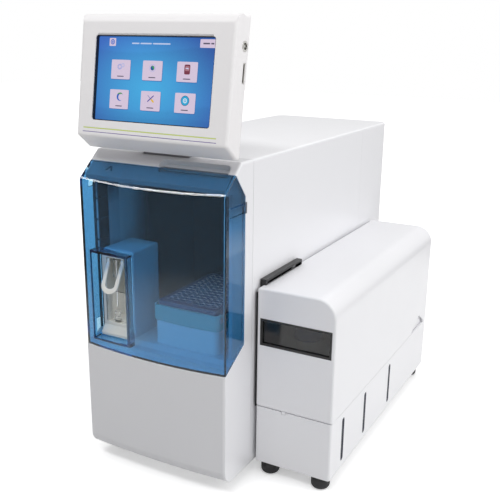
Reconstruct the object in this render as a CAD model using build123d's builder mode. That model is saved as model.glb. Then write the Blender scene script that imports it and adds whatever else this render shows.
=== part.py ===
from build123d import *
import math
import os

# Bench analyzer with a see-through front door, a tilting display and a reagent cabinet on its right.
# Sizes are in millimetres. Places are counted from the body's left front corner on the bench:
# x to the right, y to the back, z up. The model's origin is the middle of its footprint.

# Main body
BODY_W = 200.0
BODY_D = 528.0
FOOT_H = 16.0
BODY_TOP = 399.4
BOW = 4.0                    # how far the front face bulges between its corners
BOTTOM_R = 18.0              # rounding under the front face
TOP_EDGE_R = 2.5
REAR_CORNER_R = 18.0
WALL = 3.0
BEZEL_Y1 = 61.4
COVER_Y0, COVER_Y1 = 61.8, 410.0
SHELL_Y0 = 410.2
SLOPE_Z0 = 368.4             # height where the sloped brow starts, at y = 0
SLOPE_Y1 = 35.0              # depth where the brow meets the flat top
SLOPE = (BODY_TOP - SLOPE_Z0) / SLOPE_Y1

# Footprint of the whole object, used to centre the model
DISPLAY_W = 202.0
CABINET_X0, CABINET_X1 = 204.0, 304.5
REAR_Y = 530.0
LEFT_X = (BODY_W - DISPLAY_W) / 2
CENTRE_X = (LEFT_X + CABINET_X1) / 2
CENTRE_Y = (REAR_Y - BOW) / 2

# Front door
DOOR_T = 3.0
DOOR_Z0 = 159.3
DOOR_TOP = (21.0, 387.0)     # y and z of the upper edge
FLANGE_Y = 43.0              # how far the side flanges reach back
FLANGE_Z0, FLANGE_Z1 = 184.0, 360.7
HINGE_X, HINGE_Y = 5.6, 38.5
HINGE_R = 3.4
HINGE_Z0, HINGE_Z1 = 188.0, 356.0
PIN_R = 1.2
PIN_L = 16.0
PORT_X0, PORT_X1 = 10.0, 67.5
PORT_Z0, PORT_Z1 = 167.0, 282.0
PORT_BACK_L, PORT_BACK_R = 18.0, 9.0
PORT_WALL = 2.5
LATCH_Z0, LATCH_Z1 = 342.0, 353.0
SENSOR_X, SENSOR_T = 33.0, 1.5
RIDGE_R = 5.5                # bend between the door's front and its sloped top
CREASE_R = 1.8               # bend between the door's front and its side flanges

# Sample chamber behind the door
FRAME_Y = 21.0               # front edge of the chamber frame under the door's flanges
OPEN_X0, OPEN_X1 = 10.0, 190.0
FLOOR_Z, CEILING_Z = 170.0, 366.0
SURROUND_Y1 = 80.0
LINER_Y1 = 236.0

# Microplate with 8 x 12 wells at the standard 9 mm pitch
PLATE_L, PLATE_W, PLATE_H = 127.76, 85.48, 14.35
PITCH = 9.0
PLATE_CX, PLATE_Y0 = 130.4, 27.3
PLATE_Z0 = 210.0
CARRIAGE_X0, CARRIAGE_X1 = 84.5, 176.6
CARRIAGE_Y0, CARRIAGE_Y1 = 22.5, 159.0
RAIL_XS = (103.0, 158.0)
RAIL_W, RAIL_H = 8.0, 3.8
PLINTH_Z1 = 200.0

# Sample station
STATION_X0, STATION_X1 = 14.0, 58.5
STATION_Y0, STATION_Y1 = 22.0, 76.0
STATION_Z1 = 281.0
POCKET_X0, POCKET_X1 = 17.5, 55.0
POCKET_Z0, POCKET_Z1 = 172.0, 276.0
CAVITY_X0, CAVITY_X1 = 19.6, 51.9
CAVITY_Z0, CAVITY_Z1 = 186.0, 270.0
RIM_X0, RIM_X1 = 13.4, 57.0  # the insert's rim stands in front of the housing
RIM_Y = 18.4
PROBE_X, PROBE_Y = 30.7, 24.2
LEVER_X, LEVER_Y, LEVER_Z = 32.9, 21.4, 266.0
LEVER_LEAN = 26.0
LEVER_OUT, LEVER_IN, LEVER_WAIST = 12.8, 8.4, 7.0
LEVER_LEG = 30.0
LEVER_PIN_R = 1.5

# Display
TILT = 9.1
FACE_Y, FACE_Z = 0.8, 421.6  # the lower edge of the display's front face
FACE_H = 124.0
FRAME_T = 26.4
HOUSING_T = 30.0
SCREEN_W, SCREEN_H = 157.0, 94.0
SCREEN_U, SCREEN_V = -1.2, 63.0  # the screen's middle, across and up the face
DISPLAY_EDGE_R = 4.0
AXLE_Y, AXLE_Z = 42.0, 414.0
AXLE_R = 2.5
NECK_X0, NECK_X1 = 68.0, 132.0

# Reagent cabinet
CABINET_Y0, CABINET_Y1 = 67.7, 464.6
CABINET_Z0, CABINET_SEAM, CABINET_TOP = 18.5, 94.0, 247.5
CABINET_R = 24.0             # rounding along the lid's outer top edge
SLOT_YS = (107.0, 184.5, 284.5)
SLOT_Z0, SLOT_Z1 = 28.0, 85.0
SLOT_W = 6.4
LID_EDGE_R = 2.5
WINDOW_X0, WINDOW_X1 = 208.0, 300.6
WINDOW_Z0, WINDOW_Z1 = 175.7, 210.3
TUBE_Y0, TUBE_Y1 = 80.0, 181.0
GAP = 0.4                    # seam between separate mouldings

# Rear panel
PANEL_Y = BODY_D - WALL
FAN_X, FAN_Z = 122.0, 268.0
FAN_BORE, FAN_PITCH = 38.2, 35.5
INLET_XS, INLET_ZS = (40, 66), (80, 100)
SWITCH_XS, SWITCH_ZS = (42, 62), (112, 140)
SERIAL_XS, SERIAL_ZS = (104, 136), (84, 97)
LAN_XS, LAN_ZS = (148, 164), (82, 96)
SCREW_R = 1.9
PANEL_SCREWS = [(x, z) for x in (26, 174) for z in (57, 149, 241, 333)]
FAN_SCREWS = [
    (FAN_X + dx, FAN_Z + dz) for dx in (-FAN_PITCH, FAN_PITCH) for dz in (-FAN_PITCH, FAN_PITCH)
]

os.makedirs("parts", exist_ok=True)


def level(z):
    """Level plane at height z; sketch axes are x and y."""
    return Plane(origin=(-CENTRE_X, -CENTRE_Y, z), x_dir=(1, 0, 0), z_dir=(0, 0, 1))


def facing(y):
    """Upright plane that faces the front at depth y; sketch axes are x and z."""
    return Plane(origin=(-CENTRE_X, y - CENTRE_Y, 0), x_dir=(1, 0, 0), z_dir=(0, -1, 0))


def sideways(x):
    """Upright plane that faces right at x; sketch axes are y and z."""
    return Plane(origin=(x - CENTRE_X, -CENTRE_Y, 0), x_dir=(0, 1, 0), z_dir=(1, 0, 0))


def outline(plane, points):
    """Flat face with straight edges through the given points."""
    with BuildSketch(plane) as shape:
        with BuildLine():
            Polyline(*points, close=True)
        make_face()
    return shape.sketch


def plate(plane, spans_a, spans_b, corner=0.0):
    """Flat rectangle between two pairs of limits, with rounded corners if a radius is given."""
    width = spans_a[1] - spans_a[0]
    height = spans_b[1] - spans_b[0]
    with BuildSketch(plane) as shape:
        with Locations(((spans_a[0] + spans_a[1]) / 2, (spans_b[0] + spans_b[1]) / 2)):
            if corner:
                RectangleRounded(width, height, corner)
            else:
                Rectangle(width, height)
    return shape.sketch


def block(xs, ys, zs, corner=0.0, mode=Mode.ADD):
    """Block between three pairs of limits, its upright edges rounded by corner."""
    extrude(plate(level(zs[0]), xs, ys, corner), amount=zs[1] - zs[0], mode=mode)


def panel(xs, ys, zs, corner=0.0, mode=Mode.ADD):
    """Block whose edges along the depth are rounded by corner."""
    extrude(plate(facing(ys[0]), xs, zs, corner), amount=ys[0] - ys[1], mode=mode)


def rod(plane, centre, radius, length, mode=Mode.ADD):
    """Round rod or hole from a plane along its normal."""
    with BuildSketch(plane) as section:
        with Locations(centre):
            Circle(radius)
    extrude(section.sketch, amount=length, mode=mode)


def save(part, name):
    """Labels a finished piece and writes it."""
    part.label = name
    export_step(part, f"parts/{name}.step")


def bowed_plan(z, inset, xs, back):
    """Plan outline at height z whose front edge is the body's bowed front, moved back by inset."""
    with BuildSketch(level(z)) as plan:
        with BuildLine():
            ThreePointArc((xs[0], inset), (BODY_W / 2, inset - BOW), (xs[1], inset))
            Polyline((xs[1], inset), (xs[1], back), (xs[0], back), (xs[0], inset))
        make_face()
    return plan.sketch


def bowed_block(inset, xs, back, side_points):
    """Solid with the bowed front in plan and the given outline from the side."""
    with BuildPart() as solid:
        extrude(bowed_plan(0, inset, xs, back), amount=BODY_TOP)
        side = outline(sideways(xs[0]), side_points)
        extrude(side, amount=xs[1] - xs[0], mode=Mode.INTERSECT)
    return solid.part


def brow_line(y, inset=0.0):
    """Height of the sloped brow at depth y, or of a surface inset below it."""
    return SLOPE_Z0 + SLOPE * y - inset * math.hypot(1, SLOPE)


def door_outline(grow):
    """Side outline of the door, grown outwards by grow, from its lower front edge upwards."""
    lower = (FLANGE_Z0 - DOOR_Z0) / FLANGE_Y
    back = FLANGE_Y + grow
    front = -BOW - 1
    return [
        (front, DOOR_Z0 + lower * front - grow),
        (front, brow_line(front, -grow)),
        (DOOR_TOP[0] + grow, brow_line(DOOR_TOP[0] + grow, -grow)),
        (back, FLANGE_Z1 + grow),
        (back, FLANGE_Z0 - grow),
    ]


def door_sill(y):
    """Height of the slanted sill under the door at depth y, with the clearance the sample port needs."""
    return DOOR_Z0 + 0.8 + (FLANGE_Z0 - DOOR_Z0) / FLANGE_Y * y


def door_mark():
    """Inverted V on the surface just under the door's sloped top."""
    under_door = Plane(
        origin=(SENSOR_X - CENTRE_X, -CENTRE_Y, brow_line(0, DOOR_T + 0.6)),
        x_dir=(1, 0, 0),
        z_dir=(0, -SLOPE, 1),
    )
    fork = [(-5.6, 20), (-1.8, 27.4), (1.8, 27.4), (5.6, 20), (2.6, 20), (0, 24.6), (-2.6, 20)]
    return outline(under_door, fork)


def softened(solid, ridge_radius, crease_radius):
    """Bowed solid with its ridge and its two upright front edges rounded."""
    with BuildPart() as soft:
        add(solid)
        ridge = soft.edges().filter_by(GeomType.LINE, reverse=True).sort_by(Axis.Z)[-1]
        fillet(ridge, ridge_radius)
        creases = soft.edges().filter_by(Axis.Z).group_by(Axis.Y)[0]
        fillet(creases, crease_radius)
    return soft.part


# Front bezel: the moulding that carries the door, the chamber opening and the display's neck
with BuildPart() as front_bezel:
    extrude(bowed_plan(FOOT_H, 0, (0, BODY_W), BEZEL_Y1), amount=BODY_TOP - FOOT_H)
    brow = [(-10, brow_line(-10)), (SLOPE_Y1, BODY_TOP), (SLOPE_Y1, BODY_TOP + 30), (-10, BODY_TOP + 30)]
    extrude(outline(sideways(-1), brow), amount=BODY_W + 2, mode=Mode.SUBTRACT)
    front_bottom = front_bezel.edges().group_by(Axis.Z)[0].sort_by(Axis.Y)[0]
    fillet(front_bottom, BOTTOM_R)
    brow_edges = front_bezel.edges().filter_by_position(Axis.Z, SLOPE_Z0 - 1, BODY_TOP + 1)
    straight = brow_edges.filter_by(GeomType.LINE)
    fillet(straight.filter_by(lambda edge: abs(edge.tangent_at(0).X) < 0.01), TOP_EDGE_R)
    # The room behind the lower front panel is open to the base plate
    with BuildSketch(sideways(WALL)) as hollow:
        with BuildLine():
            Polyline(
                (WALL, 38), (WALL, 156), (BEZEL_Y1 + 1, 156), (BEZEL_Y1 + 1, 15), (24, 15), (24, 21),
                (18, 21),
            )
            RadiusArc((18, 21), (WALL, 38), 17)
        make_face()
    extrude(hollow.sketch, amount=BODY_W - 2 * WALL, mode=Mode.SUBTRACT)
    # Rebate that the door closes over; a narrower core stays behind it
    add(bowed_block(-2, (-1, BODY_W + 1), BEZEL_Y1 - 2, door_outline(GAP)), mode=Mode.SUBTRACT)
    core = [
        (DOOR_T + 0.8, DOOR_Z0 - 8),
        (DOOR_T + 0.8, FLOOR_Z - 3.6),
        (FRAME_Y, FLOOR_Z - 3.6),
        (FRAME_Y, CEILING_Z),
        (9, CEILING_Z),
        (9, brow_line(9, DOOR_T + 0.6)),
        (DOOR_TOP[0] + 2.4, brow_line(DOOR_TOP[0] + 2.4, DOOR_T + 0.6)),
        (DOOR_TOP[0] + 6, 380),
        (BEZEL_Y1, 380),
        (BEZEL_Y1, DOOR_Z0 - 8),
    ]
    extrude(outline(sideways(DOOR_T + 0.6), core), amount=BODY_W - 2 * DOOR_T - 3.2)
    panel((OPEN_X0, OPEN_X1), (-10, BEZEL_Y1 + 1), (FLOOR_Z, CEILING_Z), corner=4, mode=Mode.SUBTRACT)
    # Channel for the door's hinge barrel, room for its flange to turn, and the pin holes
    rod(
        level(HINGE_Z0 - 0.6), (HINGE_X, HINGE_Y), HINGE_R + 0.5, HINGE_Z1 - HINGE_Z0 + 1.2,
        Mode.SUBTRACT,
    )
    block((-1, HINGE_X), (HINGE_Y, HINGE_Y + 6.6), (HINGE_Z0 - 0.6, HINGE_Z1 + 0.6), mode=Mode.SUBTRACT)
    block((-1, HINGE_X), (HINGE_Y - 5, HINGE_Y + 1), (HINGE_Z0 - 0.6, HINGE_Z1 + 0.6), mode=Mode.SUBTRACT)
    for pin_z in (HINGE_Z0 - PIN_L / 2, HINGE_Z1 - PIN_L / 2):
        rod(level(pin_z), (HINGE_X, HINGE_Y), PIN_R, PIN_L, Mode.SUBTRACT)
    extrude(door_mark(), amount=-SENSOR_T, mode=Mode.SUBTRACT)
    # Finger scoop in the brow, reaching under the door's upper edge
    brow_plane = Plane(
        origin=(-CENTRE_X, -CENTRE_Y, SLOPE_Z0),
        x_dir=(1, 0, 0),
        z_dir=(0, -SLOPE, 1),
    )
    with BuildSketch(brow_plane) as scoop:
        with Locations((144, 31.5)):
            RectangleRounded(92, 19, 6)
    extrude(scoop.sketch, amount=-7, taper=12, mode=Mode.SUBTRACT)
    # Recess for the display's neck, and the pocket for the door catch
    block((NECK_X0 - 0.5, NECK_X1 + 0.5), (SLOPE_Y1 - 1, 57), (393, BODY_TOP + 1), mode=Mode.SUBTRACT)
    block((194, 201), (FLANGE_Y, 47), (LATCH_Z0 - 1, LATCH_Z1 + 1), mode=Mode.SUBTRACT)
save(front_bezel.part, "front_bezel")

# Front door: one clear moulding with a bowed front, a sloped top, two side flanges and the sample port
with BuildPart() as front_door:
    add(softened(bowed_block(0, (0, BODY_W), FLANGE_Y, door_outline(0)), RIDGE_R, CREASE_R))
    inner = [
        (-BOW, DOOR_Z0 - 20),
        (-BOW, brow_line(-BOW, DOOR_T)),
        (FLANGE_Y + 1, brow_line(FLANGE_Y + 1, DOOR_T)),
        (FLANGE_Y + 1, DOOR_Z0 - 20),
    ]
    hollow = bowed_block(DOOR_T, (DOOR_T, BODY_W - DOOR_T), FLANGE_Y + 1, inner)
    add(softened(hollow, RIDGE_R - DOOR_T, CREASE_R / 2), mode=Mode.SUBTRACT)
    # Sample port: a rectangular sleeve that runs back to the sample station
    sleeve = [(PORT_X0, 0), (PORT_X1, 0), (PORT_X1, PORT_BACK_R), (PORT_X0, PORT_BACK_L)]
    extrude(outline(level(PORT_Z0), sleeve), amount=PORT_Z1 - PORT_Z0)
    panel(
        (PORT_X0 + PORT_WALL, PORT_X1 - PORT_WALL),
        (-10, 30),
        (PORT_Z0 + PORT_WALL, PORT_Z1 - PORT_WALL),
        corner=2,
        mode=Mode.SUBTRACT,
    )
    # Its underside keeps clear of the sill as the door turns
    sill = [
        (DOOR_T + 0.2, door_sill(DOOR_T)), (30, door_sill(30)), (30, DOOR_Z0), (DOOR_T + 0.2, DOOR_Z0),
    ]
    extrude(outline(sideways(PORT_X0 - 1), sill), amount=PORT_X1 - PORT_X0 + 2, mode=Mode.SUBTRACT)
    # The left flange ends at the hinge barrel, and is cut back above and below it
    block((-1, DOOR_T + 0.1), (HINGE_Y, FLANGE_Y + 1), (DOOR_Z0, DOOR_TOP[1]), mode=Mode.SUBTRACT)
    block((-1, DOOR_T + 0.1), (14, FLANGE_Y + 1), (HINGE_Z1, DOOR_TOP[1] - 8), mode=Mode.SUBTRACT)
    block((-1, DOOR_T + 0.1), (24, FLANGE_Y + 1), (DOOR_TOP[1] - 9, DOOR_TOP[1]), mode=Mode.SUBTRACT)
    block((-1, DOOR_T + 0.1), (14, FLANGE_Y + 1), (DOOR_Z0, HINGE_Z0), mode=Mode.SUBTRACT)
    rod(level(HINGE_Z0), (HINGE_X, HINGE_Y), HINGE_R, HINGE_Z1 - HINGE_Z0)
    rod(level(HINGE_Z0), (HINGE_X, HINGE_Y), PIN_R + 0.06, HINGE_Z1 - HINGE_Z0, Mode.SUBTRACT)
    # Two slits free the latch tongue in the right flange
    for slit_z in (LATCH_Z0, LATCH_Z1 - 0.8):
        block(
            (BODY_W - DOOR_T - 1, BODY_W + 1), (9, FLANGE_Y + 1), (slit_z, slit_z + 0.8),
            mode=Mode.SUBTRACT,
        )
save(front_door.part, "front_door")

# Steel pins that the door turns on, pressed into the bezel
with BuildPart() as door_hinge_pins:
    for pin_z in (HINGE_Z0 - PIN_L / 2, HINGE_Z1 - PIN_L / 2):
        rod(level(pin_z), (HINGE_X, HINGE_Y), PIN_R, PIN_L)
save(door_hinge_pins.part, "door_hinge_pins")

# Catch that the latch tongue snaps onto
with BuildPart() as door_catch:
    block((194, BODY_W - 0.4), (FLANGE_Y + 0.6, 47), (LATCH_Z0 - 1, LATCH_Z1 + 1))
save(door_catch.part, "door_catch")

# Main cover: folded over the top and both sides, open underneath
with BuildPart() as main_cover:
    with BuildSketch(facing(COVER_Y0)) as section:
        with BuildLine():
            Polyline((0, FOOT_H), (0, BODY_TOP), (BODY_W, BODY_TOP), (BODY_W, FOOT_H), close=True)
        make_face()
        fillet(section.vertices().sort_by(Axis.Y)[-2:], TOP_EDGE_R)
        with Locations((BODY_W / 2, (FOOT_H + BODY_TOP - WALL) / 2 - 1)):
            Rectangle(BODY_W - 2 * WALL, BODY_TOP - WALL - FOOT_H + 2, mode=Mode.SUBTRACT)
    extrude(amount=COVER_Y0 - COVER_Y1)
    # Opening where the tubes from the reagent cabinet enter
    block((BODY_W - WALL - 1, BODY_W + 1), (TUBE_Y0 + 6, TUBE_Y1 - 6), (240, 250), mode=Mode.SUBTRACT)
    # Slots that the reagent cabinet's bracket hooks into
    for hook_z in (34, 205):
        block((BODY_W - WALL - 1, BODY_W + 1), (78, 84), (hook_z - 6, hook_z + 6), mode=Mode.SUBTRACT)
save(main_cover.part, "main_cover")

# Rear shell: closed moulding with rounded upright corners and an opening for the connector panel
with BuildPart() as rear_shell:
    with BuildSketch(level(FOOT_H)) as plan:
        with BuildLine():
            Polyline((0, SHELL_Y0), (BODY_W, SHELL_Y0), (BODY_W, BODY_D), (0, BODY_D), close=True)
        make_face()
        fillet(plan.vertices().sort_by(Axis.Y)[-2:], REAR_CORNER_R)
    extrude(amount=BODY_TOP - FOOT_H)
    top_rim = rear_shell.edges().group_by(Axis.Z)[-1]
    fillet(top_rim.sort_by(Axis.Y)[1:], TOP_EDGE_R)
    with BuildSketch(level(FOOT_H)) as room:
        with BuildLine():
            Polyline(
                (WALL, SHELL_Y0),
                (BODY_W - WALL, SHELL_Y0),
                (BODY_W - WALL, BODY_D - WALL),
                (WALL, BODY_D - WALL),
                close=True,
            )
        make_face()
        fillet(room.vertices().sort_by(Axis.Y)[-2:], REAR_CORNER_R - WALL)
    extrude(amount=BODY_TOP - WALL - FOOT_H, mode=Mode.SUBTRACT)
    panel((32, 168), (BODY_D - 10, BODY_D + 1), (64, 326), corner=4, mode=Mode.SUBTRACT)
    for screw_x, screw_z in PANEL_SCREWS:
        rod(facing(BODY_D - WALL - 1), (screw_x, screw_z), SCREW_R + 0.1, -WALL - 2, Mode.SUBTRACT)
save(rear_shell.part, "rear_shell")

# Base plate: folded steel tray that everything inside stands on, with air slots
with BuildPart() as base_plate:
    block((WALL, BODY_W - WALL), (24.6, BODY_D - WALL - 1), (FOOT_H, FOOT_H + 2), corner=16)
    block((WALL, WALL + 1.5), (70, 480), (FOOT_H, FOOT_H + 14))
    block((BODY_W - WALL - 1.5, BODY_W - WALL), (70, 480), (FOOT_H, FOOT_H + 14))
    for slot_row in range(6):
        block(
            (60, 140), (400 + 8 * slot_row, 403 + 8 * slot_row), (FOOT_H - 1, FOOT_H + 3), 1.4,
            Mode.SUBTRACT,
        )
save(base_plate.part, "base_plate")


def foot(centre, radius, height):
    """Moulded foot with a rounded tread, its flat top at the given height."""
    with BuildSketch(
        Plane(origin=(centre[0] - CENTRE_X, centre[1] - CENTRE_Y, 0), x_dir=(1, 0, 0), z_dir=(0, -1, 0))
    ) as half:
        with BuildLine():
            Polyline(
                (0, 0), (0, height), (radius * 0.8, height), (radius, height * 0.6),
                (radius, height * 0.3),
            )
            RadiusArc((radius, height * 0.3), (radius - height * 0.3, 0), height * 0.3)
            Line((radius - height * 0.3, 0), (0, 0))
        make_face()
    axis = Axis((centre[0] - CENTRE_X, centre[1] - CENTRE_Y, 0), (0, 0, 1))
    revolve(half.sketch, axis=axis)


with BuildPart() as body_feet:
    for foot_x in (28, 172):
        for foot_y in (50, 480):
            foot((foot_x, foot_y), 12, FOOT_H)
save(body_feet.part, "body_feet")

# White surround that lines the front of the sample chamber
with BuildPart() as chamber_surround:
    panel((OPEN_X0 - 4, OPEN_X1 + 4), (BEZEL_Y1, SURROUND_Y1), (FLOOR_Z - 4, CEILING_Z + 4), corner=8)
    panel(
        (OPEN_X0, OPEN_X1), (BEZEL_Y1 - 1, SURROUND_Y1 + 1), (FLOOR_Z, CEILING_Z), corner=4,
        mode=Mode.SUBTRACT,
    )
save(chamber_surround.part, "chamber_surround")

# Black liner: the closed rear of the chamber
with BuildPart() as chamber_liner:
    panel((OPEN_X0 - 4, OPEN_X1 + 4), (SURROUND_Y1, LINER_Y1), (FLOOR_Z - 4, CEILING_Z + 4), corner=8)
    panel(
        (OPEN_X0, OPEN_X1), (SURROUND_Y1 - 1, LINER_Y1 - 3), (FLOOR_Z, CEILING_Z), corner=4,
        mode=Mode.SUBTRACT,
    )
save(chamber_liner.part, "chamber_liner")

# Ladder of two strips at the chamber's left jamb, with clips across the corner that hold the tubing
CLIP_ZS = [187.2 + 25.6 * i for i in range(7)]
RAIL_NOTCHES = [180 + 8.5 * i for i in range(21)]
with BuildPart() as tubing_rail:
    block((OPEN_X0, OPEN_X0 + 1.2), (FRAME_Y, 39), (FLOOR_Z + 6, CEILING_Z - 6))
    block((4.4, 7.2), (FRAME_Y - 1.6, FRAME_Y), (FLOOR_Z + 6, CEILING_Z - 6))
    for clip_z in CLIP_ZS:
        block((6, OPEN_X0 + 1.2), (FRAME_Y - 1.4, FRAME_Y), (clip_z, clip_z + 1.5))
        hook = [
            (OPEN_X0, 20), (OPEN_X0 + 2.4, 22), (OPEN_X0 + 3.2, 26), (OPEN_X0 + 3.2, 36),
            (OPEN_X0 + 1, 37), (OPEN_X0 + 1, 22),
        ]
        extrude(outline(level(clip_z), hook), amount=1.5)
    for notch_z in RAIL_NOTCHES:
        block((5.2, 6.4), (FRAME_Y - 2, FRAME_Y - 0.8), (notch_z, notch_z + 4.5), mode=Mode.SUBTRACT)
save(tubing_rail.part, "tubing_rail")

# Small forked marker let into the brow under the door, where a sensor sees that it is shut
with BuildPart() as door_sensor:
    extrude(door_mark(), amount=-SENSOR_T)
save(door_sensor.part, "door_sensor")

# Plinth that carries the plate carriage; its front is bowed like the body's
PLINTH_XS = (86.0, 174.0)
RAIL_YS = (32.0, 222.0)
with BuildPart() as carriage_plinth:
    with BuildSketch(level(FLOOR_Z)) as plan:
        with BuildLine():
            ThreePointArc((PLINTH_XS[0], 26), (PLATE_CX, 23), (PLINTH_XS[1], 26))
            Polyline((PLINTH_XS[1], 26), (PLINTH_XS[1], 225), (PLINTH_XS[0], 225), (PLINTH_XS[0], 26))
        make_face()
        fillet(plan.vertices().sort_by(Axis.Y)[:2], 8)
    extrude(plan.sketch, amount=PLINTH_Z1 - FLOOR_Z)
    for rail_x in RAIL_XS:
        slot_xs = (rail_x - RAIL_W / 2 - 0.1, rail_x + RAIL_W / 2 + 0.1)
        block(slot_xs, RAIL_YS, (PLINTH_Z1 - RAIL_H, PLINTH_Z1 + 1), mode=Mode.SUBTRACT)
save(carriage_plinth.part, "carriage_plinth")

# Two steel rails sunk in the plinth, each with a groove along its top
GROOVE_W = 3.0
with BuildPart() as carriage_rails:
    for rail_x in RAIL_XS:
        rail_zs = (PLINTH_Z1 - RAIL_H, PLINTH_Z1 + 0.2)
        block((rail_x - RAIL_W / 2, rail_x + RAIL_W / 2), RAIL_YS, rail_zs)
        block(
            (rail_x - GROOVE_W / 2, rail_x + GROOVE_W / 2), (31, 223), (PLINTH_Z1 - 1.8, PLINTH_Z1 + 1),
            mode=Mode.SUBTRACT,
        )
save(carriage_rails.part, "carriage_rails")

# Plate carriage: a tray that holds the microplate and slides with two keels in the rails
CARRIAGE_Z1 = 219.5
with BuildPart() as plate_carriage:
    with BuildSketch(level(PLINTH_Z1 + 0.4)) as plan:
        with BuildLine():
            ThreePointArc((CARRIAGE_X0, 25.5), (PLATE_CX, CARRIAGE_Y0), (CARRIAGE_X1, 25.5))
            Polyline(
                (CARRIAGE_X1, 25.5), (CARRIAGE_X1, CARRIAGE_Y1), (CARRIAGE_X0, CARRIAGE_Y1),
                (CARRIAGE_X0, 25.5),
            )
        make_face()
        fillet(plan.vertices().sort_by(Axis.Y)[:2], 6)
    extrude(plan.sketch, amount=CARRIAGE_Z1 - PLINTH_Z1 - 0.4)
    block((CARRIAGE_X0 - 1, CARRIAGE_X1 + 1), (34, CARRIAGE_Y1 + 1), (217, 221), mode=Mode.SUBTRACT)
    pocket_xs = (PLATE_CX - PLATE_W / 2 - 0.3, PLATE_CX + PLATE_W / 2 + 0.3)
    block(
        pocket_xs, (PLATE_Y0 - 0.3, PLATE_Y0 + PLATE_L + 0.3), (PLATE_Z0, 221), corner=1,
        mode=Mode.SUBTRACT,
    )
    for rail_x in RAIL_XS:
        block((rail_x - 1.2, rail_x + 1.2), (40, 150), (PLINTH_Z1 - 1.4, PLINTH_Z1 + 0.5))
save(plate_carriage.part, "plate_carriage")

# Spring clip at the carriage's right front corner
with BuildPart() as plate_clip:
    with BuildSketch(level(211)) as hook:
        with BuildLine():
            Polyline(
                (CARRIAGE_X1, 27), (CARRIAGE_X1 + 1.6, 27), (CARRIAGE_X1 + 1.6, 40), (CARRIAGE_X1, 40),
                close=True,
            )
        make_face()
    extrude(hook.sketch, amount=5)
save(plate_clip.part, "plate_clip")

# Microplate: stepped skirt and 96 filled wells
with BuildPart() as well_plate:
    plate_x0 = PLATE_CX - PLATE_W / 2
    plate_x1 = PLATE_CX + PLATE_W / 2
    plate_y1 = PLATE_Y0 + PLATE_L
    block((plate_x0, plate_x1), (PLATE_Y0, plate_y1), (PLATE_Z0, PLATE_Z0 + 3), 3)
    block(
        (plate_x0 + 1.4, plate_x1 - 1.4), (PLATE_Y0 + 1.4, plate_y1 - 1.4),
        (PLATE_Z0 + 3, PLATE_Z0 + PLATE_H), 3,
    )
    with BuildSketch(level(PLATE_Z0 + PLATE_H - 2.5)) as wells:
        with Locations((PLATE_CX, (PLATE_Y0 + plate_y1) / 2)):
            with GridLocations(PITCH, PITCH, 8, 12):
                RegularPolygon(3.4, 10)
    extrude(wells.sketch, amount=4, mode=Mode.SUBTRACT)
save(well_plate.part, "well_plate")

# Sample station housing with a pocket for its insert
with BuildPart() as station_housing:
    block((STATION_X0, STATION_X1), (STATION_Y0, STATION_Y1), (FLOOR_Z, STATION_Z1), corner=3)
    fillet(station_housing.edges().group_by(Axis.Z)[-1], 2.5)
    panel(
        (POCKET_X0, POCKET_X1),
        (STATION_Y0 - 1, 62),
        (POCKET_Z0, POCKET_Z1),
        mode=Mode.SUBTRACT,
    )
save(station_housing.part, "station_housing")

# Station insert: pale moulding with the sampling well and bearings for the lever
with BuildPart() as station_insert:
    panel((POCKET_X0, POCKET_X1), (STATION_Y0, 62), (POCKET_Z0, POCKET_Z1))
    panel((RIM_X0, RIM_X1), (RIM_Y, STATION_Y0), (POCKET_Z0, POCKET_Z1), corner=2)
    panel((CAVITY_X0, CAVITY_X1), (RIM_Y - 1, 52), (CAVITY_Z0, CAVITY_Z1), corner=2, mode=Mode.SUBTRACT)
    for pin_x in (CAVITY_X0 - 2, CAVITY_X1):
        rod(sideways(pin_x), (LEVER_Y, LEVER_Z), LEVER_PIN_R + 0.02, 2, Mode.SUBTRACT)
save(station_insert.part, "station_insert")

# Stub pins that the lever swings on
with BuildPart() as lever_pins:
    rod(sideways(CAVITY_X0 - 2), (LEVER_Y, LEVER_Z), LEVER_PIN_R, LEVER_X - LEVER_IN - CAVITY_X0 + 2)
    rod(
        sideways(LEVER_X + LEVER_IN - 1), (LEVER_Y, LEVER_Z), LEVER_PIN_R,
        CAVITY_X1 + 3 - LEVER_X - LEVER_IN,
    )
save(lever_pins.part, "lever_pins")

# U-shaped sample lever, hanging forward from its pins
LEVER = Plane(
    origin=(LEVER_X - CENTRE_X, LEVER_Y - CENTRE_Y, LEVER_Z),
    x_dir=(1, 0, 0),
    z_dir=(0, -math.cos(math.radians(LEVER_LEAN)), math.sin(math.radians(LEVER_LEAN))),
)
LEVER_FOOT, LEVER_CREST = LEVER_LEG + 11.8, LEVER_LEG + 5.0
with BuildPart() as sample_lever:
    with BuildSketch(LEVER.offset(-1.5)) as bow:
        with BuildLine():
            Line((-LEVER_OUT, 0), (-LEVER_OUT, -LEVER_LEG))
            ThreePointArc((-LEVER_OUT, -LEVER_LEG), (0, -LEVER_FOOT), (LEVER_OUT, -LEVER_LEG))
            Polyline((LEVER_OUT, -LEVER_LEG), (LEVER_OUT, 0), (LEVER_IN, 0), (LEVER_WAIST, -LEVER_LEG))
            ThreePointArc((LEVER_WAIST, -LEVER_LEG), (0, -LEVER_CREST), (-LEVER_WAIST, -LEVER_LEG))
            Polyline((-LEVER_WAIST, -LEVER_LEG), (-LEVER_IN, 0), (-LEVER_OUT, 0))
        make_face()
    extrude(bow.sketch, amount=3)
    for arm_x in (LEVER_X - LEVER_OUT, LEVER_X + LEVER_IN):
        rod(sideways(arm_x), (LEVER_Y, LEVER_Z), 3.2, LEVER_OUT - LEVER_IN)
        rod(
            sideways(arm_x - 1), (LEVER_Y, LEVER_Z), LEVER_PIN_R + 0.06, LEVER_OUT - LEVER_IN + 2,
            Mode.SUBTRACT,
        )
save(sample_lever.part, "sample_lever")

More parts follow.
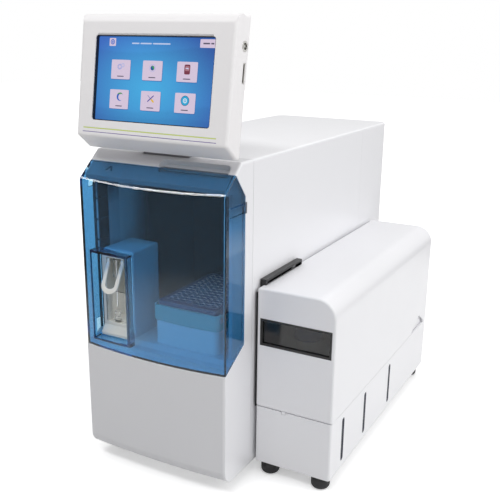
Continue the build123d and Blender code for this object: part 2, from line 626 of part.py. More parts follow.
# Steel sample needle hanging in its guard tube
NEEDLE_R = 0.8
NEEDLE_Z = 206.0
GUARD_R, GUARD_WALL, GUARD_Z = 4.6, 0.9, 245.0
with BuildPart() as sample_needle:
    rod(level(NEEDLE_Z), (PROBE_X, PROBE_Y), NEEDLE_R, CAVITY_Z1 - NEEDLE_Z)
save(sample_needle.part, "sample_needle")

with BuildPart() as needle_guard:
    rod(level(GUARD_Z), (PROBE_X, PROBE_Y), GUARD_R, CAVITY_Z1 - GUARD_Z)
    rod(
        level(GUARD_Z - 1), (PROBE_X, PROBE_Y), GUARD_R - GUARD_WALL, CAVITY_Z1 - GUARD_Z - 1,
        Mode.SUBTRACT,
    )
    rod(level(260), (PROBE_X, PROBE_Y), NEEDLE_R, 12, Mode.SUBTRACT)
save(needle_guard.part, "needle_guard")

# Rinse cup under the needle
CUP = Plane(origin=(PROBE_X - CENTRE_X, PROBE_Y - CENTRE_Y, CAVITY_Z0), x_dir=(1, 0, 0), z_dir=(0, -1, 0))
with BuildPart() as rinse_cup:
    with BuildSketch(CUP) as half:
        with BuildLine():
            Polyline(
                (0, 0), (4.8, 0), (4.8, 2.5), (4, 3.6), (4, 14), (2.7, 14), (2.7, 6), (0, 6),
                close=True,
            )
        make_face()
    revolve(half.sketch, axis=Axis((PROBE_X - CENTRE_X, PROBE_Y - CENTRE_Y, 0), (0, 0, 1)))
save(rinse_cup.part, "rinse_cup")

# Clear splash guard across the front of the sampling well
GUARD_ZS = (187.5, 228.0)
with BuildPart() as splash_guard:
    with BuildSketch(facing(RIM_Y)) as pane:
        with BuildLine():
            left, right = CAVITY_X0 - 1, CAVITY_X1 + 1
            Polyline((left, GUARD_ZS[0]), (left, GUARD_ZS[1]), (right, GUARD_ZS[1]), (right, GUARD_ZS[0]))
            ThreePointArc((right, GUARD_ZS[0]), (PROBE_X, GUARD_ZS[0] + 3), (left, GUARD_ZS[0]))
        make_face()
    extrude(pane.sketch, amount=1.2)
save(splash_guard.part, "splash_guard")

# Sloped ledge that catches drips in front of the insert
with BuildPart() as drip_ledge:
    ledge = [(RIM_Y, 172), (RIM_Y, 182), (17, 182), (11, 174), (11, 170.6), (RIM_Y, 170.6)]
    extrude(outline(sideways(RIM_X0 + 1), ledge), amount=RIM_X1 - RIM_X0 - 2)
save(drip_ledge.part, "drip_ledge")

# Display, built in its own tilted frame: u to the right, v up the face, depth behind the face
TILT_COS = math.cos(math.radians(TILT))
TILT_SIN = math.sin(math.radians(TILT))
FACE_ORIGIN = (BODY_W / 2 - CENTRE_X, FACE_Y - CENTRE_Y, FACE_Z)
FACE = Plane(origin=FACE_ORIGIN, x_dir=(1, 0, 0), z_dir=(0, -TILT_COS, TILT_SIN))


def display_side(u):
    """Plane square to the display's width at u; sketch axes are depth and v."""
    origin = (FACE_ORIGIN[0] + u, FACE_ORIGIN[1], FACE_ORIGIN[2])
    return Plane(origin=origin, x_dir=(0, TILT_COS, -TILT_SIN), z_dir=(1, 0, 0))


def display_shell(depths):
    """The display housing's outer form between two depths behind its face."""
    with BuildPart() as shell:
        with BuildSketch(display_side(-DISPLAY_W / 2)) as profile:
            with BuildLine():
                Line((0, 0), (0, FACE_H))
                ThreePointArc((0, FACE_H), (3.5, FACE_H + 7), (11, FACE_H + 10.5))
                Polyline(
                    (11, FACE_H + 10.5), (HOUSING_T, FACE_H + 14.5), (HOUSING_T, -15), (22, -15), (3, -4)
                )
                ThreePointArc((3, -4), (0.8, -2.4), (0, 0))
            make_face()
        extrude(profile.sketch, amount=DISPLAY_W)
        fillet(shell.edges().filter_by(GeomType.LINE).filter_by(Axis.X, reverse=True), DISPLAY_EDGE_R)
        keep = plate(FACE.offset(-depths[0]), (-DISPLAY_W, DISPLAY_W), (-40, 180))
        extrude(keep, amount=depths[0] - depths[1], mode=Mode.INTERSECT)
    return shell.part


def behind_face(us, vs, depths, corner=0.0, mode=Mode.ADD):
    """Block with its face parallel to the display's, between two depths."""
    extrude(plate(FACE.offset(-depths[0]), us, vs, corner), amount=depths[0] - depths[1], mode=mode)


SCREEN_US = (SCREEN_U - SCREEN_W / 2, SCREEN_U + SCREEN_W / 2)
SCREEN_VS = (SCREEN_V - SCREEN_H / 2, SCREEN_V + SCREEN_H / 2)
SLOT_VS = (65, 87)
SLOT_DEPTHS = (19.4, 24.4)
JACK_V, JACK_DEPTH, JACK_R = 103.4, 19.5, 5.6

# Display front frame with a chamfered screen opening and hollow back
with BuildPart() as display_frame:
    add(display_shell((0, FRAME_T)))
    behind_face((-94, 94), (-2, 124), (9, FRAME_T + 1), corner=4, mode=Mode.SUBTRACT)
    behind_face(SCREEN_US, SCREEN_VS, (-1, 10), 3, Mode.SUBTRACT)
    # Bevel along the opening's upper edge
    bevel = [(-0.5, SCREEN_VS[1] + 2.6), (2.2, SCREEN_VS[1] - 0.5), (-0.5, SCREEN_VS[1] - 0.5)]
    extrude(outline(display_side(SCREEN_US[0] + 3), bevel), amount=SCREEN_W - 6, mode=Mode.SUBTRACT)
    behind_face((93, DISPLAY_W / 2 + 1), SLOT_VS, SLOT_DEPTHS, mode=Mode.SUBTRACT)
    rod(display_side(93), (JACK_DEPTH, JACK_V), JACK_R, 9, Mode.SUBTRACT)
save(display_frame.part, "display_frame")

# Touch screen: a dark tray whose rim lines the frame's opening, with the glass at its bottom
RIM_DEPTH, GLASS_DEPTH = 1.0, 5.0
with BuildPart() as touch_screen:
    behind_face((-90, 88), (SCREEN_VS[0] - 8, SCREEN_VS[1] + 8), (10.2, 13))
    rim_us = (SCREEN_US[0] + 0.15, SCREEN_US[1] - 0.15)
    rim_vs = (SCREEN_VS[0] + 0.15, SCREEN_VS[1] - 0.15)
    behind_face(rim_us, rim_vs, (RIM_DEPTH, 10.4), 2.8)
    glass_us = (rim_us[0] + 0.8, rim_us[1] - 0.8)
    glass_vs = (rim_vs[0] + 0.8, rim_vs[1] - 0.8)
    behind_face(glass_us, glass_vs, (RIM_DEPTH - 1, GLASS_DEPTH), 2, Mode.SUBTRACT)
save(touch_screen.part, "touch_screen")

# Card slot and round jack in the display's right side
with BuildPart() as card_slot:
    behind_face((94, DISPLAY_W / 2 - 0.4), SLOT_VS, SLOT_DEPTHS)
    behind_face(
        (95.5, DISPLAY_W / 2 + 1), (SLOT_VS[0] + 1.4, SLOT_VS[1] - 1.4), (20.6, 23.2), mode=Mode.SUBTRACT
    )
save(card_slot.part, "card_slot")

with BuildPart() as side_jack:
    rod(display_side(94), (JACK_DEPTH, JACK_V), JACK_R, DISPLAY_W / 2 - 93.4)
    rod(display_side(96), (JACK_DEPTH, JACK_V), 3.6, 8, Mode.SUBTRACT)
    rod(display_side(94), (JACK_DEPTH, JACK_V), 1.4, DISPLAY_W / 2 - 94)
save(side_jack.part, "side_jack")

# Display rear shell with a raised back and two lugs for the tilt pin
LUG_T = 9.0
with BuildPart() as display_rear:
    add(display_shell((FRAME_T, HOUSING_T)))
    raised = plate(FACE.offset(-HOUSING_T), (-84, 84), (12, 120), corner=10)
    extrude(raised, amount=-10, taper=20)
    behind_face((-90, 90), (2, 122), (FRAME_T - 1, FRAME_T + 1.6), corner=4, mode=Mode.SUBTRACT)
    for lug_x in (NECK_X0 - LUG_T - 0.4, NECK_X1 + 0.4):
        lug = [(29.6, 406), (AXLE_Y, AXLE_Z - 6.5), (AXLE_Y + 6.5, AXLE_Z), (AXLE_Y, 421), (34, 432)]
        extrude(outline(sideways(lug_x), lug), amount=LUG_T)
        rod(sideways(lug_x), (AXLE_Y, AXLE_Z), 6.5, LUG_T)
        rod(sideways(lug_x - 1), (AXLE_Y, AXLE_Z), AXLE_R + 0.05, LUG_T + 2, Mode.SUBTRACT)
save(display_rear.part, "display_rear")

# Neck that stands in the bezel's recess and carries the tilt pin
with BuildPart() as display_neck:
    block((NECK_X0, NECK_X1), (SLOPE_Y1 + 0.5, 56.5), (393, BODY_TOP - 0.4), corner=2)
    with BuildSketch(sideways(NECK_X0)) as web:
        with BuildLine():
            Polyline(
                (36, BODY_TOP - 1), (54, BODY_TOP - 1), (AXLE_Y + 6, AXLE_Z + 2),
                (AXLE_Y - 6, AXLE_Z + 2), close=True,
            )
        make_face()
        with Locations((AXLE_Y, AXLE_Z)):
            Circle(6.5)
    extrude(web.sketch, amount=NECK_X1 - NECK_X0)
    rod(sideways(NECK_X0 - 1), (AXLE_Y, AXLE_Z), AXLE_R, NECK_X1 - NECK_X0 + 2, Mode.SUBTRACT)
save(display_neck.part, "display_neck")

with BuildPart() as tilt_pin:
    pin_x0 = NECK_X0 - LUG_T - 1.4
    rod(sideways(pin_x0), (AXLE_Y, AXLE_Z), AXLE_R, NECK_X1 - NECK_X0 + 2 * LUG_T + 2.8)
save(tilt_pin.part, "tilt_pin")


def cabinet_section(z_low, z_top, wall, corner):
    """Front outline of the cabinet between two heights, its outer top edge rounded by corner."""
    with BuildSketch(facing(CABINET_Y0 + wall)) as section:
        with BuildLine():
            left, right = CABINET_X0 + wall, CABINET_X1 - wall
            Polyline((left, z_low), (left, z_top), (right, z_top), (right, z_low), close=True)
        make_face()
        fillet(section.vertices().group_by(Axis.Y)[-1].sort_by(Axis.X)[-1], corner)
    return section.sketch


CABINET_L = CABINET_Y1 - CABINET_Y0

# Cabinet base: open tray with three level slots in its outer side
with BuildPart() as cabinet_base:
    block((CABINET_X0, CABINET_X1), (CABINET_Y0, CABINET_Y1), (CABINET_Z0, CABINET_SEAM), corner=3)
    block(
        (CABINET_X0 + WALL, CABINET_X1 - WALL),
        (CABINET_Y0 + WALL, CABINET_Y1 - WALL),
        (CABINET_Z0 + WALL, CABINET_SEAM + 1),
        corner=2,
        mode=Mode.SUBTRACT,
    )
    for slot_y in SLOT_YS:
        with BuildSketch(sideways(CABINET_X1 - WALL - 1)) as slot:
            with Locations((slot_y, (SLOT_Z0 + SLOT_Z1) / 2)):
                SlotOverall(SLOT_Z1 - SLOT_Z0, SLOT_W, rotation=90)
        extrude(slot.sketch, amount=WALL + 2, mode=Mode.SUBTRACT)
    # Notch in the rim that takes the lid's tongue
    block(
        (239, 245), (CABINET_Y0 - 1, CABINET_Y0 + WALL + 1), (CABINET_SEAM - 3, CABINET_SEAM + 1),
        mode=Mode.SUBTRACT,
    )
    # Upstand behind the lid's finger notch
    block((CABINET_X1 - WALL - 2.2, CABINET_X1 - WALL + 0.5), (382, 454), (80, CABINET_SEAM - 4))
    block((CABINET_X1 - WALL - 2.2, CABINET_X1 - WALL - 0.5), (382, 454), (80, 118))
save(cabinet_base.part, "cabinet_base")

# Level panes whose raised fields fill the slots
with BuildPart() as level_panes:
    for slot_y in SLOT_YS:
        block(
            (CABINET_X1 - WALL - 1.2, CABINET_X1 - WALL), (slot_y - 6, slot_y + 6),
            (SLOT_Z0 - 3, SLOT_Z1 + 3),
        )
        with BuildSketch(sideways(CABINET_X1 - WALL - 0.5)) as lens:
            with Locations((slot_y, (SLOT_Z0 + SLOT_Z1) / 2)):
                SlotOverall(SLOT_Z1 - SLOT_Z0 - 0.2, SLOT_W - 0.2, rotation=90)
        extrude(lens.sketch, amount=WALL - 0.1)
save(level_panes.part, "level_panes")

# Cabinet lid: tall cover that lifts off the base
with BuildPart() as cabinet_lid:
    extrude(cabinet_section(CABINET_SEAM + GAP, CABINET_TOP, 0, CABINET_R), amount=-CABINET_L)
    left_edges = cabinet_lid.edges().filter_by(Axis.Y).group_by(Axis.X)[0]
    fillet(left_edges.sort_by(Axis.Z)[-1], 3)
    fillet(cabinet_lid.edges().filter_by(Axis.Y).group_by(Axis.X)[0].sort_by(Axis.Z)[0], 2.9)
    outlines = cabinet_lid.faces().filter_by(Axis.Y).edges()
    fillet(outlines.filter_by(lambda edge: edge.center().Z > CABINET_SEAM + 5), LID_EDGE_R)
    room = cabinet_section(CABINET_SEAM - 1, CABINET_TOP - WALL, WALL, CABINET_R - WALL)
    extrude(room, amount=2 * WALL - CABINET_L, mode=Mode.SUBTRACT)
    panel(
        (WINDOW_X0, WINDOW_X1), (CABINET_Y0 - 1, CABINET_Y0 + 6), (WINDOW_Z0, WINDOW_Z1),
        mode=Mode.SUBTRACT,
    )
    # Port for the tubes between the cabinet and the body
    block(
        (CABINET_X0 - 1, CABINET_X0 + 5), (TUBE_Y0, TUBE_Y1), (236, CABINET_TOP + 1), mode=Mode.SUBTRACT
    )
    # Finger notch at the rear of the outer side, and the tongue at the front
    notch = [(386, CABINET_SEAM), (392, CABINET_SEAM + 5), (424, 114), (448, 99), (450, CABINET_SEAM)]
    extrude(outline(sideways(CABINET_X1 - WALL - 1), notch), amount=WALL + 2, mode=Mode.SUBTRACT)
    block((239.4, 244.6), (CABINET_Y0, CABINET_Y0 + WALL), (CABINET_SEAM - 2.6, CABINET_SEAM + GAP + 1))
save(cabinet_lid.part, "cabinet_lid")

# Raised edge round the tube port
with BuildPart() as tube_port:
    block((CABINET_X0 - 2.6, CABINET_X0 + 5), (TUBE_Y0, TUBE_Y1), (236, CABINET_TOP + 7))
    block(
        (CABINET_X0 - 3, CABINET_X0 + 6), (TUBE_Y0 + 3, TUBE_Y1 - 3), (239, CABINET_TOP + 4),
        mode=Mode.SUBTRACT,
    )
save(tube_port.part, "tube_port")

# Window in the cabinet's front: dark frame and a smoked pane
with BuildPart() as window_frame:
    panel((WINDOW_X0, WINDOW_X1), (CABINET_Y0 + 0.6, CABINET_Y0 + 6), (WINDOW_Z0, WINDOW_Z1))
    inner_xs = (WINDOW_X0 + 3, WINDOW_X1 - 3)
    inner_zs = (WINDOW_Z0 + 3, WINDOW_Z1 - 3)
    panel(inner_xs, (CABINET_Y0 - 1, CABINET_Y0 + 7), inner_zs, mode=Mode.SUBTRACT)
save(window_frame.part, "window_frame")

with BuildPart() as window_pane:
    panel(inner_xs, (CABINET_Y0 + 3, CABINET_Y0 + 5), inner_zs)
save(window_pane.part, "window_pane")


def bottle(ys, height, name):
    """Square-shouldered bottle standing in the cabinet, with its neck and screw cap."""
    xs = (CABINET_X0 + 10, CABINET_X1 - 10)
    middle = ((xs[0] + xs[1]) / 2, (ys[0] + ys[1]) / 2)
    floor = CABINET_Z0 + WALL
    with BuildPart() as body:
        block(xs, ys, (floor, floor + height), corner=9)
        fillet(body.edges().group_by(Axis.Z)[-1], 7)
        rod(level(floor + height), middle, 14, 12)
    save(body.part, name)
    with BuildPart() as cap:
        rod(level(floor + height + 12), middle, 17, 14)
        for fitting_x in (-6, 6):
            rod(level(floor + height + 26), (middle[0] + fitting_x, middle[1]), 2.5, 7)
    save(cap.part, name + "_cap")


bottle((76, 138), 148, "buffer_bottle")
bottle((153, 216), 148, "reagent_bottle")
bottle((240, 330), 160, "waste_bottle")

# Steel bracket that hangs the cabinet on the body's side
with BuildPart() as cabinet_bracket:
    block((BODY_W, CABINET_X0), (77, 90), (28, 214))
    block((BODY_W, CABINET_X0), (90, 440), (40, 56))
    for hook_z in (34, 205):
        block((BODY_W - WALL, BODY_W + 1), (78.4, 83.6), (hook_z - 3, hook_z + 3))
save(cabinet_bracket.part, "cabinet_bracket")

with BuildPart() as cabinet_feet:
    for foot_x in (219, 288):
        for foot_y in (82, 448):
            foot((foot_x, foot_y), 11.8, CABINET_Z0)
save(cabinet_feet.part, "cabinet_feet")

# Rear panels: two plates behind the shell's opening, each with a raised field that fills it
PANEL_JOINT = 156.0


def rear_plate(low, high):
    """The plate with its raised field, kept between two heights."""
    with BuildPart() as plate_between:
        panel((32.4, 167.6), (PANEL_Y, PANEL_Y + 2), (64.4, 325.6), corner=4)
        panel((20, 180), (PANEL_Y - 2, PANEL_Y), (50, 340), corner=6)
        block((19, 181), (PANEL_Y - 3, PANEL_Y + 3), (low, high), mode=Mode.INTERSECT)
    return plate_between.part


with BuildPart() as rear_panel:
    add(rear_plate(PANEL_JOINT + 0.3, 341))
    rod(facing(PANEL_Y + 3), (FAN_X, FAN_Z), FAN_BORE - 1, 6, Mode.SUBTRACT)
    for screw_x, screw_z in PANEL_SCREWS[2:4] + PANEL_SCREWS[6:] + FAN_SCREWS:
        rod(facing(PANEL_Y + 3), (screw_x, screw_z), SCREW_R + 0.1, 6, Mode.SUBTRACT)
save(rear_panel.part, "rear_panel")

with BuildPart() as socket_panel:
    add(rear_plate(49, PANEL_JOINT))
    for hole_xs, hole_zs in (
        (INLET_XS, INLET_ZS),
        (SWITCH_XS, SWITCH_ZS),
        (SERIAL_XS, SERIAL_ZS),
        (LAN_XS, LAN_ZS),
    ):
        panel(hole_xs, (PANEL_Y - 3, PANEL_Y + 3), hole_zs, mode=Mode.SUBTRACT)
    for screw_x, screw_z in PANEL_SCREWS[:2] + PANEL_SCREWS[4:6]:
        rod(facing(PANEL_Y + 3), (screw_x, screw_z), SCREW_R + 0.1, 6, Mode.SUBTRACT)
save(socket_panel.part, "socket_panel")

# Fan: square frame with a hub carrier on four struts, rotor with seven blades, and a ring guard
FAN_Y0, FAN_Y1 = PANEL_Y - 27, PANEL_Y - 2
HUB_R, SPINDLE_R = 16.0, 2.0
with BuildPart() as fan_frame:
    panel((FAN_X - 40, FAN_X + 40), (FAN_Y0, FAN_Y1), (FAN_Z - 40, FAN_Z + 40), corner=5)
    rod(facing(FAN_Y1 + 1), (FAN_X, FAN_Z), FAN_BORE, 27, Mode.SUBTRACT)
    rod(facing(FAN_Y0 + 3), (FAN_X, FAN_Z), HUB_R, 3)
    panel((FAN_X - 40, FAN_X + 40), (FAN_Y0, FAN_Y0 + 3), (FAN_Z - 2, FAN_Z + 2))
    panel((FAN_X - 2, FAN_X + 2), (FAN_Y0, FAN_Y0 + 3), (FAN_Z - 40, FAN_Z + 40))
    rod(facing(FAN_Y0 + 18), (FAN_X, FAN_Z), SPINDLE_R, 16)
    for screw_x, screw_z in FAN_SCREWS:
        rod(facing(FAN_Y1 + 1), (screw_x, screw_z), SCREW_R + 0.1, 27, Mode.SUBTRACT)
save(fan_frame.part, "fan_frame")

BLADES = 7
BLADE_LEAN = 38.0
with BuildPart() as fan_rotor:
    rod(facing(FAN_Y1 - 1.5), (FAN_X, FAN_Z), HUB_R, 18)
    for blade in range(BLADES):
        turn = 2 * math.pi * blade / BLADES
        radial = Vector(math.cos(turn), 0, math.sin(turn))
        root = Plane(
            origin=Vector(FAN_X - CENTRE_X, FAN_Y1 - 10.5 - CENTRE_Y, FAN_Z) + radial * (HUB_R - 1.5),
            x_dir=(0, 1, 0),
            z_dir=radial,
        )
        with BuildSketch(root) as chord:
            Rectangle(20, 1.6, rotation=BLADE_LEAN)
        extrude(chord.sketch, amount=20.5)
    rod(facing(FAN_Y0 + 18.4), (FAN_X, FAN_Z), SPINDLE_R + 0.06, 18, Mode.SUBTRACT)
save(fan_rotor.part, "fan_rotor")

with BuildPart() as fan_guard:
    for ring_r in (10, 17, 24, 31, 38):
        with BuildSketch(facing(BODY_D)) as ring:
            with Locations((FAN_X, FAN_Z)):
                Circle(ring_r + 0.8)
                Circle(ring_r - 0.8, mode=Mode.SUBTRACT)
        extrude(ring.sketch, amount=1)
    for lean in (45, 135):
        with BuildSketch(facing(BODY_D)) as spoke:
            with Locations((FAN_X, FAN_Z)):
                Rectangle(100.4, 1.8, rotation=lean)
        extrude(spoke.sketch, amount=1)
    for screw_x, screw_z in FAN_SCREWS:
        rod(facing(BODY_D), (screw_x, screw_z), 4, 1)
        rod(facing(BODY_D + 1), (screw_x, screw_z), SCREW_R + 0.1, 3, Mode.SUBTRACT)
save(fan_guard.part, "fan_guard")

# Identical pan-head screws that hold the panel, and the fan with its guard
with BuildPart() as panel_screws:
    for screw_x, screw_z in PANEL_SCREWS + FAN_SCREWS:
        rod(facing(BODY_D), (screw_x, screw_z), SCREW_R, 10)
        with BuildSketch(facing(REAR_Y)) as head:
            with Locations((screw_x, screw_z)):
                Circle(3.6)
        extrude(head.sketch, amount=REAR_Y - BODY_D)
        with BuildSketch(facing(REAR_Y)) as cross:
            with Locations((screw_x, screw_z)):
                Rectangle(3.6, 0.8)
                Rectangle(0.8, 3.6)
        extrude(cross.sketch, amount=1.2, mode=Mode.SUBTRACT)
save(panel_screws.part, "panel_screws")

# Power inlet with three flat contacts
with BuildPart() as power_inlet:
    panel(
        (INLET_XS[0] + 0.2, INLET_XS[1] - 0.2), (PANEL_Y - 16, PANEL_Y + 2),
        (INLET_ZS[0] + 0.2, INLET_ZS[1] - 0.2),
    )
    panel(
        (INLET_XS[0] - 5, INLET_XS[1] + 5), (PANEL_Y + 2, PANEL_Y + 4),
        (INLET_ZS[0] - 4, INLET_ZS[1] + 4), 3,
    )
    panel(
        (INLET_XS[0] + 2, INLET_XS[1] - 2), (PANEL_Y - 13, PANEL_Y + 5),
        (INLET_ZS[0] + 2, INLET_ZS[1] - 2), 2, Mode.SUBTRACT,
    )
    for contact_x, contact_z in ((53, 93), (46, 87), (60, 87)):
        panel(
            (contact_x - 1, contact_x + 1), (PANEL_Y - 14, PANEL_Y + 1),
            (contact_z - 2.4, contact_z + 2.4),
        )
save(power_inlet.part, "power_inlet")

# Power switch: frame and a rocker that tips about its stub axles
ROCKER_Y, ROCKER_Z = 520.0, 126.0
ROCKER_REST = math.radians(7)
with BuildPart() as switch_frame:
    panel(
        (SWITCH_XS[0] + 0.2, SWITCH_XS[1] - 0.2), (PANEL_Y - 16, PANEL_Y + 2),
        (SWITCH_ZS[0] + 0.2, SWITCH_ZS[1] - 0.2),
    )
    panel(
        (SWITCH_XS[0] - 2, SWITCH_XS[1] + 2), (PANEL_Y + 2, PANEL_Y + 3),
        (SWITCH_ZS[0] - 2, SWITCH_ZS[1] + 2), 2,
    )
    panel((44.5, 59.5), (PANEL_Y - 14, PANEL_Y + 4), (ROCKER_Z - 12, ROCKER_Z + 12), mode=Mode.SUBTRACT)
    rod(sideways(43), (ROCKER_Y, ROCKER_Z), 1.5, 18, Mode.SUBTRACT)
save(switch_frame.part, "switch_frame")

with BuildPart() as switch_rocker:
    neutral = [(8, 10.6), (6.5, 0), (8, -10.6), (-3, -7), (-5, 0), (-3, 7)]
    tipped = []
    for out, up in neutral:
        rocked_y = ROCKER_Y + out * math.cos(ROCKER_REST) + up * math.sin(ROCKER_REST)
        rocked_z = ROCKER_Z + up * math.cos(ROCKER_REST) - out * math.sin(ROCKER_REST)
        tipped.append((rocked_y, rocked_z))
    extrude(outline(sideways(44.9), tipped), amount=14.2)
    rod(sideways(43.3), (ROCKER_Y, ROCKER_Z), 1.42, 17.4)
save(switch_rocker.part, "switch_rocker")

# Data sockets: a nine-way connector and a network socket
with BuildPart() as data_sockets:
    panel(
        (SERIAL_XS[0] + 0.2, SERIAL_XS[1] - 0.2), (PANEL_Y - 10, PANEL_Y + 2),
        (SERIAL_ZS[0] + 0.2, SERIAL_ZS[1] - 0.2),
    )
    panel(
        (SERIAL_XS[0] - 4, SERIAL_XS[1] + 4), (PANEL_Y + 2, PANEL_Y + 3),
        (SERIAL_ZS[0] - 2, SERIAL_ZS[1] + 2), 1,
    )
    extrude(outline(facing(PANEL_Y + 4), [(110, 95.4), (130, 95.4), (128, 86.6), (112, 86.6)]), amount=2)
    extrude(
        outline(facing(PANEL_Y + 5), [(111.4, 94.4), (128.6, 94.4), (127, 87.6), (113, 87.6)]),
        amount=8,
        mode=Mode.SUBTRACT,
    )
    panel(
        (LAN_XS[0] + 0.2, LAN_XS[1] - 0.2), (PANEL_Y - 14, PANEL_Y + 3),
        (LAN_ZS[0] + 0.2, LAN_ZS[1] - 0.2),
    )
    panel(
        (LAN_XS[0] + 2, LAN_XS[1] - 2), (PANEL_Y - 10, PANEL_Y + 4), (LAN_ZS[0] + 3, LAN_ZS[1] - 2),
        mode=Mode.SUBTRACT,
    )
save(data_sockets.part, "data_sockets")

# Power supply with vent slots, standing on the base plate
TRAY_Z = FOOT_H + 2
with BuildPart() as power_supply:
    block((110, 188), (250, 380), (TRAY_Z, TRAY_Z + 52), corner=1)
    for vent in range(9):
        vent_y = 270 + 10 * vent
        block(
            (122, 176), (vent_y, vent_y + 4), (TRAY_Z + 48, TRAY_Z + 53), corner=1.9, mode=Mode.SUBTRACT
        )
save(power_supply.part, "power_supply")

# Control board on four spacers, with its larger components
with BuildPart() as control_board:
    block((14, 100), (250, 380), (TRAY_Z + 8, TRAY_Z + 9.6))
    for spacer_x in (19, 95):
        for spacer_y in (255, 375):
            rod(level(TRAY_Z), (spacer_x, spacer_y), 3, 8)
    board_top = TRAY_Z + 9.6
    for chip_xs, chip_ys, chip_h in (
        ((40, 68), (300, 328), 3),
        ((24, 34), (270, 340), 6),
        ((76, 92), (268, 290), 12),
        ((76, 92), (340, 362), 12),
    ):
        block(chip_xs, chip_ys, (board_top, board_top + chip_h))
save(control_board.part, "control_board")

# Rinse pump: motor on a stand, with its square head in front
with BuildPart() as rinse_pump:
    block((36, 84), (104, 146), (TRAY_Z, TRAY_Z + 14))
    rod(facing(150), (60, 52), 24, 50)
    panel((32, 88), (88, 102), (24, 80), corner=10)
save(rinse_pump.part, "rinse_pump")
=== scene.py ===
"""Looks of the bench analyzer: finishes for its mouldings and the finer pieces that its frame only outlines."""

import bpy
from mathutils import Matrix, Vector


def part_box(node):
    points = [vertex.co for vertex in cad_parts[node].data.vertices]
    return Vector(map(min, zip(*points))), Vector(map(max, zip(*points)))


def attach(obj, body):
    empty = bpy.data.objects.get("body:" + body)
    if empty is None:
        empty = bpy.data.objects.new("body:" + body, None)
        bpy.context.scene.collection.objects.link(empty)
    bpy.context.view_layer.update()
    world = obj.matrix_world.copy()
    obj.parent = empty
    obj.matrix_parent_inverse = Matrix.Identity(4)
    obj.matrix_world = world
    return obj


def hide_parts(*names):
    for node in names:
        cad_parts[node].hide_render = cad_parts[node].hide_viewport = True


bl_info = {
    "name": "Bench analyzer",
    "version": (1, 0, 0),
    "blender": (4, 5, 0),
    "location": "3D View > Sidebar > Analyzer",
    "description": "Finishes and fine pieces of a bench analyzer with a clear front door and a tilting screen",
    "category": "Object",
}

import math

import bmesh
import bpy
import numpy as np
from mathutils import Matrix

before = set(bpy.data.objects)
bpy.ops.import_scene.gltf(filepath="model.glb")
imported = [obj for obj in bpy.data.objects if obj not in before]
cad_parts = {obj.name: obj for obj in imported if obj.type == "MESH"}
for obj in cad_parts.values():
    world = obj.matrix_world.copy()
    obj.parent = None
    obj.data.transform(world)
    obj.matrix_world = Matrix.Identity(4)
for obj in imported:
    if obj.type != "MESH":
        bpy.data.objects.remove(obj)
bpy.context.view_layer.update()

MM = 0.001
TAU = 2 * math.pi


def linear(red, green, blue):
    """Linear colour of a screen colour given from 0 to 255."""
    value = np.array([red, green, blue]) / 255
    return tuple(float(part) for part in np.where(value > 0.04045, ((value + 0.055) / 1.055) ** 2.4, value / 12.92))


COVER_WHITE = linear(244, 244, 247)

# The display's own directions: u to the right, v up its face, depth behind it
DISPLAY_TILT = math.radians(9.1)
FACE_ORIGIN = np.array([-51.75, -262.2, 421.6])
FACE_U = np.array([1.0, 0.0, 0.0])
FACE_V = np.array([0.0, math.sin(DISPLAY_TILT), math.cos(DISPLAY_TILT)])
FACE_DEPTH = np.array([0.0, math.cos(DISPLAY_TILT), -math.sin(DISPLAY_TILT)])

# Edges of the lit picture on that face, and how deep each of its layers lies, in millimetres
LEFT, RIGHT, BOTTOM, TOP = -78.7, 76.3, 17.0, 109.0
GROUND, SHADOW, TILE, SIGN, SIGN_OVER, SIGN_TOP = 4.95, 4.90, 4.86, 4.82, 4.80, 4.78

# Signs: tile, place from its middle, half sizes, layer, screen colour, and what else the flat shape needs
SIGNS = [
    (0, (-1.6, 3.0), (3.1, 3.1), SIGN, (168, 172, 220), {"count": 64, "lobes": 9, "lobe": 0.10, "hole": 0.5}),
    (0, (2.6, 4.6), (2.4, 2.4), SIGN_OVER, (186, 188, 226), {"count": 64, "lobes": 8, "lobe": 0.10, "hole": 0.5}),
    (1, (0, 2.8), (4.3, 4.3), SIGN, (190, 186, 226), {"count": 48, "hole": 0.84}),
    (1, (0, 2.8), (2.6, 2.6), SIGN, (40, 88, 150), {}),
    (2, (0, 2.6), (3.7, 5.2), SIGN, (122, 58, 74), {"power": 7}),
    (2, (0, 3.6), (2.7, 2.6), SIGN_OVER, (168, 116, 128), {"power": 7}),
    (4, (0, 2.6), (5.4, 0.62), SIGN_OVER, (92, 84, 160), {"power": 6, "count": 24, "turn": 40}),
    (4, (0, 2.6), (5.4, 0.5), SIGN, (150, 150, 190), {"power": 6, "count": 24, "turn": -42}),
    (4, (2.6, 0.4), (2.5, 1.0), SIGN_TOP, (226, 182, 66), {"power": 4, "count": 24, "turn": -42}),
    (5, (0, 2.6), (5.4, 5.4), SIGN, (46, 92, 140), {}),
    (5, (0, 2.6), (4.8, 4.8), SIGN_OVER, (48, 168, 214), {}),
    (5, (0, 2.6), (2.6, 2.6), SIGN_TOP, (214, 230, 246), {"hole": 0.62}),
    (5, (0, 2.6), (0.8, 0.8), SIGN_TOP, (214, 230, 246), {}),
]
# Arcs: tile, place from its middle, radius, layer, first and last angle, thickness, screen colour
ARCS = [
    (1, (0, 2.8), 2.0, SIGN_OVER, -70, 130, 1.6, (72, 176, 72)),
    (2, (-0.2, 1.6), 2.8, SIGN_TOP, 20, 150, 1.3, (206, 206, 236)),
    (3, (1.2, 2.8), 4.6, SIGN, 30, 300, 2.4, (46, 98, 190)),
    (3, (1.2, 2.8), 4.7, SIGN_OVER, 40, 150, 2.0, (96, 152, 110)),
]
